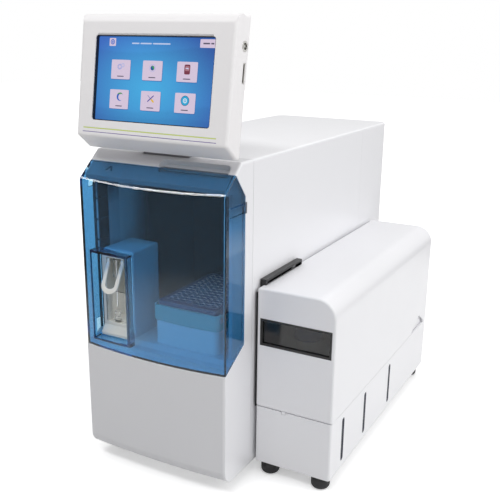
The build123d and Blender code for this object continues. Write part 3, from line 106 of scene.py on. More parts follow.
# Printed stripes under the screen: name, screen colour, u at both ends, v at both ends, thickness
STRIPES = [
    ("green_stripe", (206, 222, 120), -90.8, 86.9, 6.9, 6.2, 1.25),
    ("violet_stripe", (122, 104, 168), -91.5, 87.3, 2.5, 1.6, 0.75),
]
PRINT_DEPTH = -0.04

# Area lamps: name, spot, aim and size in metres, watts; the last one shows only in the door's gloss
LAMPS = [
    ("key_box", (1.7, 0.15, 1.35), (0.0, 0.0, 0.2), (1.6, 1.2), 9.6),
    ("front_strip", (-0.25, -1.05, 1.65), (-0.05, -0.2, 0.45), (1.8, 0.20), 11.0),
    ("back_box", (-0.6, 1.7, 1.5), (0.0, 0.0, 0.3), (1.6, 1.0), 3.0),
    ("ridge_box", (-0.65, -1.12, 1.455), (-0.05, -0.262, 0.375), (1.8, 1.36), 62.0),
]

# Camera: its spot in metres, its yaw, pitch and roll, its lens and the shift of its picture
CAMERA_SPOT = (0.43404447, -0.92408951, 0.52980419)
CAMERA_TURN = np.radians([28.033968965, -16.372084329, 0.797321573])
CAMERA_LENS, CAMERA_SHIFT = 53.246, (-0.00681, 0.00902)

# Depths in metres between which the painted shade on the chamber's liner goes from pale to black
LINER_PALE, LINER_BLACK = -0.190, -0.135

# Cabinet's level slots in metres: middles along the depth, middle height, half length of the straight part,
# reach of the painted shade round each slot from its middle line, and where the cabinet's side begins
SLOT_MIDDLES = (-0.156, -0.0785, 0.0215)
SLOT_HEIGHT, SLOT_HALF, SLOT_SHADE_REACH, CABINET_SIDE = 0.0565, 0.0253, 0.0041, 0.1485

# Bezel in metres: heights where the painted shade behind the door's slope begins, is full and ends, its right end,
# and the places between which the bezel's greyer front, itself painted shade, becomes the cover's white
SHADE_START, SHADE_FULL, SHADE_END, SHADE_RIGHT = 0.330, 0.350, 0.3865, 0.0475
BEZEL_RIGHT, COVER_LEFT = 0.0440, 0.0482

# Black strip painted in as the shade in the gap, in millimetres: share of the gap, half depth, distance behind the
# cabinet's front, lower and upper end
SHADE_STRIP_SHARE, SHADE_STRIP_HALF, SHADE_STRIP_BEHIND, SHADE_STRIP_LOW, SHADE_STRIP_HIGH = 0.45, 4.0, 5.0, 93.0, 241.0

# Microplate in millimetres: well columns and rows, height of the plate, and of the lips above its deck
COLUMNS, ROWS = 8, 12
PLATE_TALL, LIP_TALL = 14.35, 0.45
PLATE_LOW, PLATE_HIGH = np.array(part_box("well_plate")) / MM
PLATE_MIDDLE, DECK = (PLATE_LOW + PLATE_HIGH) / 2, PLATE_HIGH[2] - LIP_TALL

# Sample lever: how far it leans, and its pivot's depth and height in millimetres
LEVER_LEAN = math.radians(26.0)
LEVER_PIVOT = (-241.6, 266.0)

CAP_RADIUS, CAP_TALL, CAP_RIBS = 17.0, 14.0, 36


# ---- Surfaces


def placed(name, data):
    """Object of a mesh, lamp or camera in the scene."""
    holder = bpy.data.objects.new(name, data)
    bpy.context.scene.collection.objects.link(holder)
    return holder


def grid_quads(rows, columns, wrap):
    """Corner numbers of the quads of a grid of points; wrap joins the last column to the first."""
    row, column = np.meshgrid(np.arange(rows - 1), np.arange(columns if wrap else columns - 1), indexing="ij")
    near, far, right = row * columns, (row + 1) * columns, (column + 1) % columns
    return np.stack([near + column, near + right, far + right, far + column], -1).reshape(-1, 4)


def surface(name, grids, body, material, wrap=False, colours=None, sharp=35.0):
    """Piece that rides a body, made of grids of points in millimetres, each (rows, columns, 3).

    Doubles are merged, faces turned outwards, and edges over the given angle stay sharp.
    """
    quads, start = [], 0
    for grid in grids:
        rows, columns = grid.shape[:2]
        quads.append(grid_quads(rows, columns, wrap) + start)
        start += rows * columns
    points = np.concatenate([grid.reshape(-1, 3) for grid in grids])
    mesh = bpy.data.meshes.new(name)
    mesh.from_pydata(points * MM, [], np.concatenate(quads).tolist())
    if colours is not None:
        tints = [np.broadcast_to(np.array(colour), grid.shape).reshape(-1, 3) for colour, grid in zip(colours, grids)]
        picture = mesh.color_attributes.new("picture", "FLOAT_COLOR", "POINT")
        picture.data.foreach_set("color", np.column_stack([np.concatenate(tints), np.ones(len(points))]).ravel())
    work = bmesh.new()
    work.from_mesh(mesh)
    bmesh.ops.remove_doubles(work, verts=work.verts, dist=1e-6)
    bmesh.ops.dissolve_degenerate(work, edges=work.edges, dist=1e-7)
    bmesh.ops.recalc_face_normals(work, faces=work.faces)
    work.to_mesh(mesh)
    work.free()
    mesh.polygons.foreach_set("use_smooth", np.ones(len(mesh.polygons), dtype=bool))
    mesh.set_sharp_from_angle(angle=math.radians(sharp))
    mesh.materials.append(material)
    piece = placed(name, mesh)
    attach(piece, body)
    return piece


def turned(radius, height, angle, centre):
    """Rings of points round an upright axis: x = cx + r cos a, y = cy + r sin a, z = h."""
    x, y = centre[0] + radius * np.cos(angle), centre[1] + radius * np.sin(angle)
    return np.stack(np.broadcast_arrays(x, y, height), -1)


def lathe(profile, centre, segments):
    """Profile of (radius, height) turned round an upright axis, its heights counted from the centre's."""
    radius, height = np.array(profile, float).T[:, :, None]
    return turned(radius, centre[2] + height, np.linspace(0, TAU, segments, endpoint=False), centre)


def raised(rings, heights):
    """Flat rings of (x, y), each at its own height."""
    tall = np.broadcast_to(np.array(heights)[:, None, None], (*rings.shape[:2], 1))
    return np.concatenate([rings, tall], -1)


def rounded_rectangle(half_x, half_y, corner, count):
    """Closed outline: x = sign(cos a) (half x - r) + r cos a, and y the same with sin a and half y."""
    angle = np.linspace(0, TAU, count, endpoint=False) + TAU / count / 2
    around = np.stack([np.cos(angle), np.sin(angle)], -1)
    return np.sign(around) * (np.array([half_x, half_y]) - corner) + corner * around


def on_face(u, v, depth):
    """Point of the display's face directions: origin + u U + v V + depth D."""
    u, v, depth = np.broadcast_arrays(u, v, depth)
    return FACE_ORIGIN + u[..., None] * FACE_U + v[..., None] * FACE_V + depth[..., None] * FACE_DEPTH


def on_picture(across, down):
    """Place (u, v) on the lit picture, given from its upper left corner in shares of its size."""
    return LEFT + across * (RIGHT - LEFT), TOP - down * (TOP - BOTTOM)


def blob(centre, half, depth, power=2.0, count=40, lobes=0, lobe=0.0, turn=0.0, hole=0.0):
    """Flat shape on the display's face, from its hole to its edge, scaled by half and turned by degrees.

    Its edge is r(a) = (|cos a|^p + |sin a|^p)^(-1/p), times 1 + lobe cos(n a) where it has lobes.
    """
    turn, angle = math.radians(turn), np.linspace(0, TAU, count, endpoint=False)
    reach = (np.abs(np.cos(angle)) ** power + np.abs(np.sin(angle)) ** power) ** (-1 / power)
    reach = reach * (1 + lobe * np.cos(lobes * angle))
    share = np.linspace(hole, 1, 3)[:, None]
    x = share * reach * np.cos(angle) * half[0]
    y = share * reach * np.sin(angle) * half[1]
    u = centre[0] + x * math.cos(turn) - y * math.sin(turn)
    v = centre[1] + x * math.sin(turn) + y * math.cos(turn)
    return on_face(u, v, depth)


def crescent(centre, radius, depth, start, stop, thick):
    """Flat crescent: between radius and radius - thick sin(pi s) as the angle goes from start to stop."""
    share = np.linspace(0, 1, 28)[None]
    angle = np.radians(start + (stop - start) * share)
    reach = radius - np.array([[0.0], [1.0]]) * thick * np.sin(math.pi * share)
    return on_face(centre[0] + reach * np.cos(angle), centre[1] + reach * np.sin(angle), depth)


def face_front(piece):
    """Turns the piece's faces to the front of the display."""
    mesh = piece.data
    normals = np.empty(len(mesh.polygons) * 3)
    mesh.polygons.foreach_get("normal", normals)
    behind = np.flatnonzero(normals.reshape(-1, 3) @ FACE_DEPTH > 0)
    work = bmesh.new()
    work.from_mesh(mesh)
    work.faces.ensure_lookup_table()
    bmesh.ops.reverse_faces(work, faces=[work.faces[int(index)] for index in behind])
    work.to_mesh(mesh)
    work.free()


# ---- Shader groups and materials


class Wiring:
    """Small help for laying nodes into a tree."""

    def __init__(self, tree):
        self.tree = tree

    def fill(self, node, inputs):
        """Gives each listed input of a node its link or plain value."""
        for socket, value in dict(inputs).items():
            if isinstance(value, bpy.types.NodeSocket):
                self.tree.links.new(value, node.inputs[socket])
            else:
                node.inputs[socket].default_value = value

    def add(self, kind, inputs=(), **settings):
        node = self.tree.nodes.new(kind)
        for key, value in settings.items():
            setattr(node, key, value)
        self.fill(node, inputs)
        return node

    def math(self, operation, first, second=0.0, clamp=False):
        return self.add("ShaderNodeMath", {0: first, 1: second}, operation=operation, use_clamp=clamp).outputs[0]

    def times(self, first, second):
        return self.math("MULTIPLY", first, second)

    def plus(self, first, second, clamp=False):
        return self.math("ADD", first, second, clamp)

    def minus(self, first, second):
        return self.math("SUBTRACT", first, second)

    def ranged(self, value, low, high, to_low=0.0, to_high=1.0, **settings):
        """Value carried from low and high to two new ends, and kept between those."""
        ends = {"Value": value, "From Min": low, "From Max": high, "To Min": to_low, "To Max": to_high}
        return self.add("ShaderNodeMapRange", ends, **settings).outputs[0]

    def noise(self, vector, scale, detail):
        return self.add("ShaderNodeTexNoise", {"Vector": vector, "Scale": scale, "Detail": detail}).outputs["Fac"]

    def blend(self, factor, first, second, blend_type="MIX"):
        """Mix of two colours, which are the node's sockets 6 and 7."""
        inputs = {"Factor": factor, 6: first, 7: second}
        return self.add("ShaderNodeMix", inputs, data_type="RGBA", blend_type=blend_type).outputs[2]

    def place(self):
        """Place on the part, in metres."""
        return self.add("ShaderNodeTexCoord").outputs["Object"]

    def split(self, vector):
        """The x, y and z of a vector."""
        return self.add("ShaderNodeSeparateXYZ", {0: vector}).outputs

    def seen(self):
        """One where something is seen directly or through clear parts."""
        path = self.add("ShaderNodeLightPath").outputs
        return self.math("MAXIMUM", path["Is Camera Ray"], path["Is Transmission Ray"])


def new_group(name, inputs, outputs):
    """Node group with named inputs and outputs: its wiring, what it is given and its result."""
    kinds = {"Colour": "NodeSocketColor", "Normal": "NodeSocketVector"}
    tree = bpy.data.node_groups.new(name, "ShaderNodeTree")
    for label, value in inputs.items():
        kind = kinds.get(label, "NodeSocketFloat")
        tree.interface.new_socket(label, in_out="INPUT", socket_type=kind).default_value = value
    for label in outputs:
        tree.interface.new_socket(label, in_out="OUTPUT", socket_type=kinds.get(label, "NodeSocketFloat"))
    w = Wiring(tree)
    return w, w.add("NodeGroupInput").outputs, w.add("NodeGroupOutput")


def moulded_surface():
    """Group: mottled colour, edges lightened towards white as a painted highlight, dust on what faces up, uneven
    roughness, grain, softened edges.
    """
    inputs = {
        "Colour": (0.8, 0.8, 0.8, 1), "Mottle": 0.03, "Edge Lift": 0.2, "Edge Radius": 0.0008, "Dust": 0.03,
        "Roughness": 0.35, "Roughness Spread": 0.12, "Grain Scale": 1500.0, "Grain Height": 0.00001,
    }
    w, given, result = new_group("moulded_surface", inputs, ["Colour", "Roughness", "Normal"])
    place = w.place()
    normal = w.add("ShaderNodeNewGeometry").outputs["Normal"]
    rounded = w.add("ShaderNodeBevel", {"Radius": given["Edge Radius"]}, samples=4).outputs[0]
    facing = w.add("ShaderNodeVectorMath", {0: rounded, 1: normal}, operation="DOT_PRODUCT").outputs["Value"]
    # Painted highlight: at edges, where the softened normal turns from the face's own, the colour goes lighter towards
    # white in patches
    painted_edge_highlight = w.times(w.times(w.ranged(facing, 0.995, 0.90), w.noise(place, 60.0, 3.0)), given["Edge Lift"])
    mottle = w.times(w.minus(w.noise(place, 11.0, 4.0), 0.5), given["Mottle"])
    coloured = w.blend(1.0, given["Colour"], w.plus(mottle, 1.0), "MULTIPLY")
    lighter = w.blend(painted_edge_highlight, coloured, (1, 1, 1, 1))
    up = w.math("MAXIMUM", w.split(normal)[2], 0.0)
    settled = w.times(w.times(up, w.noise(place, 26.0, 5.0)), given["Dust"])
    smudge = w.times(w.minus(w.noise(place, 34.0, 5.0), 0.45), given["Roughness Spread"])
    grain = w.times(w.noise(place, given["Grain Scale"], 1.0), given["Grain Height"])
    w.fill(result, {
        "Colour": w.blend(settled, lighter, (0.52, 0.50, 0.47, 1)),
        "Roughness": w.plus(w.plus(smudge, given["Roughness"]), w.times(settled, 1.5), clamp=True),
        "Normal": w.add("ShaderNodeBump", {"Height": grain, "Normal": rounded, "Distance": 1.0}).outputs[0],
    })


def drawn_metal():
    """Group: fine upright drawing marks in colour, roughness and height, with darker blotches."""
    inputs = {"Colour": (0.6, 0.6, 0.6, 1), "Roughness": 0.3, "Streak": 0.15, "Fineness": 900.0}
    w, given, result = new_group("drawn_metal", inputs, ["Colour", "Roughness", "Normal"])
    place = w.place()
    stretched = w.add("ShaderNodeMapping", {"Vector": place, "Scale": (1.0, 1.0, 0.04)}).outputs[0]
    lines = w.noise(stretched, given["Fineness"], 2.0)
    blotch = w.noise(place, 42.0, 4.0)
    mark = w.times(w.minus(lines, 0.5), given["Streak"])
    shade = w.plus(w.plus(mark, 1.0), w.times(w.minus(blotch, 0.5), 0.18))
    rounded = w.add("ShaderNodeBevel", {"Radius": 0.0004}, samples=4).outputs[0]
    grain = {"Height": w.times(lines, 0.000006), "Normal": rounded, "Distance": 1.0}
    w.fill(result, {
        "Colour": w.blend(1.0, given["Colour"], shade, "MULTIPLY"),
        "Roughness": w.plus(w.plus(given["Roughness"], mark), w.times(blotch, 0.12), clamp=True),
        "Normal": w.add("ShaderNodeBump", grain).outputs[0],
    })


def handled_gloss():
    """Group: finger smears and fine dust as uneven roughness, and the slow waves of a moulded clear wall."""
    inputs = {"Roughness": 0.03, "Smear": 0.1, "Waviness": 0.00004}
    w, given, result = new_group("handled_gloss", inputs, ["Roughness", "Normal"])
    place = w.place()
    smear = w.times(w.ranged(w.noise(place, 30.0, 6.0), 0.52, 0.75), given["Smear"])
    wave = w.times(w.noise(place, 14.0, 1.0), given["Waviness"])
    w.fill(result, {
        "Roughness": w.plus(given["Roughness"], smear, clamp=True),
        "Normal": w.add("ShaderNodeBump", {"Height": wave, "Distance": 1.0}).outputs[0],
    })


def new_material(name, group=None, values=(), shader_values=()):
    """Material, its wiring, Principled shader and output; a named shared group finishes the shader."""
    material = bpy.data.materials.new(name)
    material.use_nodes = True
    material.node_tree.nodes.clear()
    w = Wiring(material.node_tree)
    shader = w.add("ShaderNodeBsdfPrincipled")
    output = w.add("ShaderNodeOutputMaterial", {"Surface": shader.outputs[0]})
    if group:
        finish = w.add("ShaderNodeGroup", values, node_tree=bpy.data.node_groups[group])
        for made in finish.outputs:
            w.fill(shader, {"Base Color" if made.name == "Colour" else made.name: made})
    w.fill(shader, shader_values)
    return material, w, shader, output


def moulded(name, colour, roughness, mottle, edge_highlight=0.2, more=(), shader_values=()):
    """Moulded plastic, rubber and the black strip of painted shade in the gap, each in one colour."""
    values = {"Colour": (*colour, 1), "Roughness": roughness, "Mottle": mottle, "Edge Lift": edge_highlight, **dict(more)}
    return new_material(name, "moulded_surface", values, shader_values)[0]


def metal(name, colour, roughness, streak=0.15, fineness=900.0):
    """Drawn or plated metal."""
    values = {"Colour": (*colour, 1), "Roughness": roughness, "Streak": streak, "Fineness": fineness}
    return new_material(name, "drawn_metal", values, {"Metallic": 1.0})[0]


def clear(name, absorbed=(), density=0.0, colour=(1, 1, 1), roughness=0.02, smear=0.08, waviness=0.00004, ior=1.49):
    """Clear moulding that lets lamps through, coloured by the depth of material that the light crosses."""
    values = {"Roughness": roughness, "Smear": smear, "Waviness": waviness}
    see_through = {"Base Color": (*colour, 1), "Transmission Weight": 1.0, "IOR": ior}
    material, w, shader, output = new_material(name, "handled_gloss", values, see_through)
    shadow = w.add("ShaderNodeLightPath").outputs["Is Shadow Ray"]
    through = w.add("ShaderNodeBsdfTransparent", {"Color": (*colour, 1)}).outputs[0]
    w.fill(output, {"Surface": w.add("ShaderNodeMixShader", {0: shadow, 1: shader.outputs[0], 2: through}).outputs[0]})
    if density:
        inside = w.add("ShaderNodeVolumeAbsorption", {"Color": (*absorbed, 1), "Density": density}).outputs[0]
        w.fill(output, {"Volume": inside})
    return material


def lit_picture():
    """Lit screen content under a glossy face, coloured by the piece's own attribute."""
    material, w, shader, _ = new_material("lit_screen", "handled_gloss", {"Roughness": 0.12, "Waviness": 0.0})
    tint = w.add("ShaderNodeAttribute", attribute_name="picture").outputs["Color"]
    speckle = w.times(w.noise(w.place(), 900.0, 1.0), 0.12)
    w.fill(shader, {
        "Base Color": (0.01, 0.01, 0.012, 1),
        "Emission Color": w.blend(speckle, tint, (0, 0, 0, 1)),
        "Emission Strength": 1.0,
        "Specular IOR Level": 0.25,
    })
    return material


def opened(material):
    """Wiring of a finished material, the x, y and z of a place on the part, and its shared group's node."""
    w = Wiring(material.node_tree)
    group = next(node for node in material.node_tree.nodes if node.bl_idname == "ShaderNodeGroup")
    return w, w.split(w.place()), group


def put(names, material):
    """Gives frame nodes their finish."""
    for name in names.split():
        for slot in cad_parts[name].material_slots:
            slot.material = material


# ---- Settings


def colour_setting(name, description, default):
    return bpy.props.FloatVectorProperty(
        name=name, description=description, default=default, size=3, subtype="COLOR", min=0, max=1
    )


def length_setting(name, description, default):
    return bpy.props.FloatProperty(
        name=name, description=description, default=default, min=0, subtype="DISTANCE", unit="LENGTH"
    )


class AnalyzerFinishSettings(bpy.types.PropertyGroup):
    """Colours of the mouldings."""

    housing: colour_setting("Housing", "Glossy white of the outer mouldings", linear(238, 238, 241))
    # Painted shade: the bezel's front is greyer than the cover, whose white its right side keeps
    bezel: colour_setting("Front bezel", "Greyer white of the front bezel", linear(221, 221, 224))
    display: colour_setting("Display housing", "Warm white of the display's shells", linear(247, 245, 246))
    chamber: colour_setting("Chamber", "Pale front of the sample chamber", linear(234, 236, 238))
    liner: colour_setting("Liner", "Black walls behind that front", linear(7, 7, 7))
    station: colour_setting("Sample station", "Pale grey of the station's mouldings", linear(224, 228, 234))
    plate: colour_setting("Microplate", "Tinted plastic of the microplate", linear(84, 94, 124))
    carriage: colour_setting("Carriage", "Teal of the plate carriage", linear(150, 202, 196))
    door: colour_setting("Door", "Colour left by the door's clear plastic", (0.205, 0.600, 0.780))
    rubber: colour_setting("Rubber", "Black of the feet", linear(26, 26, 28))


class AnalyzerScreenSettings(bpy.types.PropertyGroup):
    """Sizes and colours of what the screen shows."""

    tile_width: length_setting("Tile width", "Width of a menu tile", 26.1 * MM)
    tile_height: length_setting("Tile height", "Height of a menu tile", 21.2 * MM)
    centre: colour_setting("Centre", "Bright middle of the background", linear(70, 172, 226))
    edge: colour_setting("Edge", "Deep blue at the background's edge", linear(58, 104, 184))
    tile: colour_setting("Tile", "Pale menu tile", linear(216, 200, 222))


class AnalyzerPlateSettings(bpy.types.PropertyGroup):
    """Sizes of the microplate's wells."""

    pitch: length_setting("Pitch", "Distance between well middles", 9 * MM)
    well_radius: length_setting("Well radius", "Inner radius at a well's mouth", 3.35 * MM)
    well_depth: length_setting("Well depth", "Depth of a well", 10.6 * MM)


# ---- Operators


class ANALYZER_OT_stage(bpy.types.Operator):
    """Make the floor, the studio light and the camera"""

    bl_idname = "analyzer.stage"
    bl_label = "Stage"

    def execute(self, context):
        near, far = -6.0, 6.0
        mesh = bpy.data.meshes.new("floor")
        mesh.from_pydata([(near, near, 0), (far, near, 0), (far, far, 0), (near, far, 0)], [], [(0, 1, 2, 3)])
        floor = placed("floor", mesh)
        mesh.materials.append(self.paper())
        self.light_world(context)
        for name, spot, aim, size, power in LAMPS:
            lamp = bpy.data.lights.new(name, "AREA")
            lamp.shape = "RECTANGLE"
            lamp.size, lamp.size_y = size
            lamp.energy = power
            holder = self.stand(lamp, spot, np.array(aim) - spot)
        self.show_in_gloss(holder)
        self.place_camera(context)
        return {"FINISHED"}

    def paper(self):
        """Paper that is white where seen, grey to the light, and in glosses white only near the object."""
        material, w, shader, _ = new_material("floor_paper")
        place = w.place()
        away = w.add("ShaderNodeVectorMath", {0: place}, operation="LENGTH").outputs["Value"]
        nearby = w.ranged(away, 1.12, 0.86, 0.10)
        glossy = w.add("ShaderNodeLightPath").outputs["Is Glossy Ray"]
        seen = w.math("MAXIMUM", w.seen(), w.times(glossy, nearby))
        unlit = w.times(glossy, w.minus(1.0, nearby))
        fibre = w.plus(w.times(w.noise(place, 40.0, 3.0), 0.02), 0.57)
        fibre = w.times(fibre, w.minus(1.0, w.times(unlit, 0.6)))
        w.fill(shader, {
            "Base Color": w.blend(seen, fibre, (1, 1, 1, 1)),
            "Roughness": 0.9,
            "Specular IOR Level": 0.0,
            "Emission Color": w.times(w.ranged(away, 0.5, 1.8, 0.34, 0.7), seen),
            "Emission Strength": 1.0,
        })
        return material

    def light_world(self, context):
        """Sky whose strength changes with direction, white where it is seen directly or through clear parts."""
        world = context.scene.world = bpy.data.worlds.new("studio")
        world.use_nodes = True
        world.node_tree.nodes.clear()
        w = Wiring(world.node_tree)
        strength = 0.53
        for way, gain in zip(w.split(w.add("ShaderNodeTexCoord").outputs["Generated"]), (0.36, 0.20, 0.14)):
            strength = w.plus(w.times(way, gain), strength)
        sky = w.add("ShaderNodeBackground", {"Color": w.blend(w.seen(), strength, (1, 1, 1, 1)), "Strength": 1.0})
        w.add("ShaderNodeOutputWorld", {"Surface": sky.outputs[0]})

    def stand(self, data, spot, ahead, roll=0.0):
        """Lamp or camera at a spot, looking ahead and rolled about its line of sight."""
        ahead = np.array(ahead) / np.linalg.norm(ahead)
        side = np.cross(ahead, (0, 0, 1))
        side /= np.linalg.norm(side)
        above = np.cross(side, ahead)
        right = math.cos(roll) * side + math.sin(roll) * above
        up = math.cos(roll) * above - math.sin(roll) * side
        holder = placed(data.name, data)
        axes = np.column_stack([right, up, -ahead, spot])
        holder.matrix_world = Matrix(axes.tolist() + [[0, 0, 0, 1]])
        return holder

    def show_in_gloss(self, holder):
        """Makes the lamp round and seen only as the bright band along the door's ridge."""
        holder.data.shape = "ELLIPSE"
        holder.visible_camera = holder.visible_diffuse = holder.visible_transmission = False
        shown = bpy.data.collections.new("door_gloss")
        shown.objects.link(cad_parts["front_door"])
        holder.light_linking.receiver_collection = shown

    def place_camera(self, context):
        """Camera looking along its yaw and pitch."""
        yaw, pitch, roll = CAMERA_TURN
        ahead = (-math.sin(yaw) * math.cos(pitch), math.cos(yaw) * math.cos(pitch), math.sin(pitch))
        camera = bpy.data.cameras.new("camera")
        camera.sensor_width, camera.lens = 36.0, CAMERA_LENS
        camera.shift_x, camera.shift_y = CAMERA_SHIFT
        camera.clip_start, camera.clip_end = 0.05, 50.0
        context.scene.camera = self.stand(camera, CAMERA_SPOT, ahead, roll)


class ANALYZER_OT_finishes(bpy.types.Operator):
    """Give every frame node its finish"""

    bl_idname = "analyzer.finishes"
    bl_label = "Finishes"

    def execute(self, context):
        tint = context.scene.analyzer_finish
        moulded_surface()
        drawn_metal()
        handled_gloss()
        matt = {"Grain Scale": 1100.0, "Grain Height": 0.00003, "Dust": 0.0}
        dusty = {"Dust": 0.12, "Grain Height": 0.00004}
        coarse = {"Grain Scale": 420.0, "Grain Height": 0.00006}
        milky = {"Subsurface Weight": 0.25, "Subsurface Scale": 0.006}
        bottles = "buffer_bottle reagent_bottle waste_bottle"
        trims = "tubing_rail door_sensor tube_port window_frame fan_frame fan_rotor power_inlet switch_frame"
        # Frame nodes, then the moulding's name, colour, roughness, mottle, painted edge highlight and other values
        rows = [
            ("cabinet_lid", "housing_gloss", tint.housing, 0.30, 0.02, 0.5),
            ("main_cover rear_shell", "cover_gloss", COVER_WHITE, 0.30, 0.02, 0.5, {"Dust": 0.05}),
            ("cabinet_base", "cabinet_gloss", tint.housing, 0.30, 0.02, 0.5),
            # The bezel's greyer white on its front is painted shade
            ("front_bezel", "bezel_gloss", tint.bezel, 0.32, 0.02, 0.4),
            ("display_frame display_rear", "display_satin", tint.display, 0.42, 0.02, 0.4),
            ("chamber_surround carriage_plinth", "chamber_satin", tint.chamber, 0.38, 0.03),
            ("station_housing", "station_satin", tint.station, 0.34, 0.03, 0.4),
            # Painted shade: the display's neck is grey for the shade it lies in under the display
            ("display_neck", "neck_painted_shade", linear(138, 136, 142), 0.42, 0.04, 0.3),
            ("station_insert drip_ledge", "insert_satin", linear(222, 221, 213), 0.36, 0.04, 0.3),
            ("chamber_liner", "liner_black", tint.liner, 0.55, 0.10, 0.04, matt, {"Specular IOR Level": 0.02}),
            (trims + " cabinet_bracket", "trim_black", linear(20, 20, 22), 0.36, 0.08, 0.10),
            ("body_feet cabinet_feet", "foot_rubber", tint.rubber, 0.68, 0.12, 0.05, dusty),
            ("plate_carriage", "carriage_teal", tint.carriage, 0.40, 0.05, 0.35),
            ("door_catch", "catch_grey", linear(62, 66, 78), 0.4, 0.05),
            ("switch_rocker", "rocker_red", linear(168, 24, 22), 0.28, 0.04, 0.15),
            (bottles, "bottle_milky", linear(222, 226, 224), 0.42, 0.05, 0.2, {}, milky),
            ("control_board", "board_green", linear(20, 84, 48), 0.34, 0.20, 0.2, coarse),
            ("level_panes", "level_navy", linear(14, 16, 36), 0.40, 0.08, 0.05, {}, {"Specular IOR Level": 0.2}),
            ("rinse_pump", "pump_dark", linear(46, 48, 52), 0.45, 0.10, 0.10),
        ]
        made = {}
        for nodes, name, *values in rows:
            made[name] = moulded(name, *values)
            put(nodes, made[name])
        self.paint_liner_shade(made["liner_black"], tint)
        self.paint_slot_shade(made["cabinet_gloss"], tint)
        self.shade_recess(made["bezel_gloss"], tint)
        steel = metal("bright_steel", (0.62, 0.62, 0.63), 0.22)
        put("door_hinge_pins carriage_rails plate_clip lever_pins sample_needle tilt_pin fan_guard panel_screws", steel)
        sheet = metal("zinc_sheet", (0.60, 0.61, 0.62), 0.40, 0.10, 500.0)
        put("base_plate rear_panel socket_panel power_supply", sheet)
        put("side_jack card_slot data_sockets", metal("plated_shell", (0.72, 0.71, 0.68), 0.26, 0.08))
        put("front_door", clear("door_blue", tint.door, 530.0, smear=0.03, waviness=0.0))
        put("splash_guard rinse_cup", clear("clear_acrylic", (0.90, 0.95, 0.97), 60.0))
        put("window_pane", clear("smoked_pane", (0.30, 0.30, 0.31), 900.0, roughness=0.10))
        dark = {"Base Color": (0.012, 0.012, 0.014, 1)}
        put("touch_screen", new_material("screen_glass", "handled_gloss", {"Smear": 0.06}, dark)[0])
        return {"FINISHED"}

    def paint_liner_shade(self, material, tint):
        """Paints shade on the liner: it starts as pale as the chamber's front and goes black with depth as a smooth
        step.
        """
        w, place, group = opened(material)
        share = w.ranged(place[1], LINER_PALE, LINER_BLACK, interpolation_type="SMOOTHSTEP")
        w.fill(group, {"Colour": w.blend(share, (*tint.chamber, 1), (*tint.liner, 1))})

    def paint_slot_shade(self, material, tint):
        """Paints shade as a dark navy rim round each level slot, where its middle line is nearer than the rim's reach.
        """
        w, place, group = opened(material)
        past_end = w.minus(w.math("ABSOLUTE", w.minus(place[2], SLOT_HEIGHT)), SLOT_HALF)
        past_end = w.math("MAXIMUM", past_end, 0.0)
        nearest = 1.0
        for middle in SLOT_MIDDLES:
            aside = w.minus(place[1], middle)
            away = w.math("SQRT", w.plus(w.times(aside, aside), w.times(past_end, past_end)))
            nearest = w.math("MINIMUM", away, nearest)
        # Painted shade round the slots, in dark navy
        slot_shade_mask = w.times(w.math("LESS_THAN", nearest, SLOT_SHADE_REACH), w.math("GREATER_THAN", place[0], CABINET_SIDE))
        w.fill(group, {"Colour": w.blend(slot_shade_mask, (*tint.housing, 1), (*linear(38, 42, 72), 1))})

    def shade_recess(self, material, tint):
        """Paints shade on the bezel behind the door's sloped top, and keeps its right side as white as the cover, so
        that only its front shows the greyer white, which is painted shade.
        """
        w, place, group = opened(material)
        above = w.times(w.ranged(place[2], SHADE_START, SHADE_FULL), w.math("LESS_THAN", place[2], SHADE_END))
        share = w.times(above, w.math("LESS_THAN", place[0], SHADE_RIGHT))
        shell = w.blend(w.ranged(place[0], BEZEL_RIGHT, COVER_LEFT), (*tint.bezel, 1), (*COVER_WHITE, 1))
        w.fill(group, {"Colour": w.blend(share, shell, (*linear(120, 124, 132), 1))})


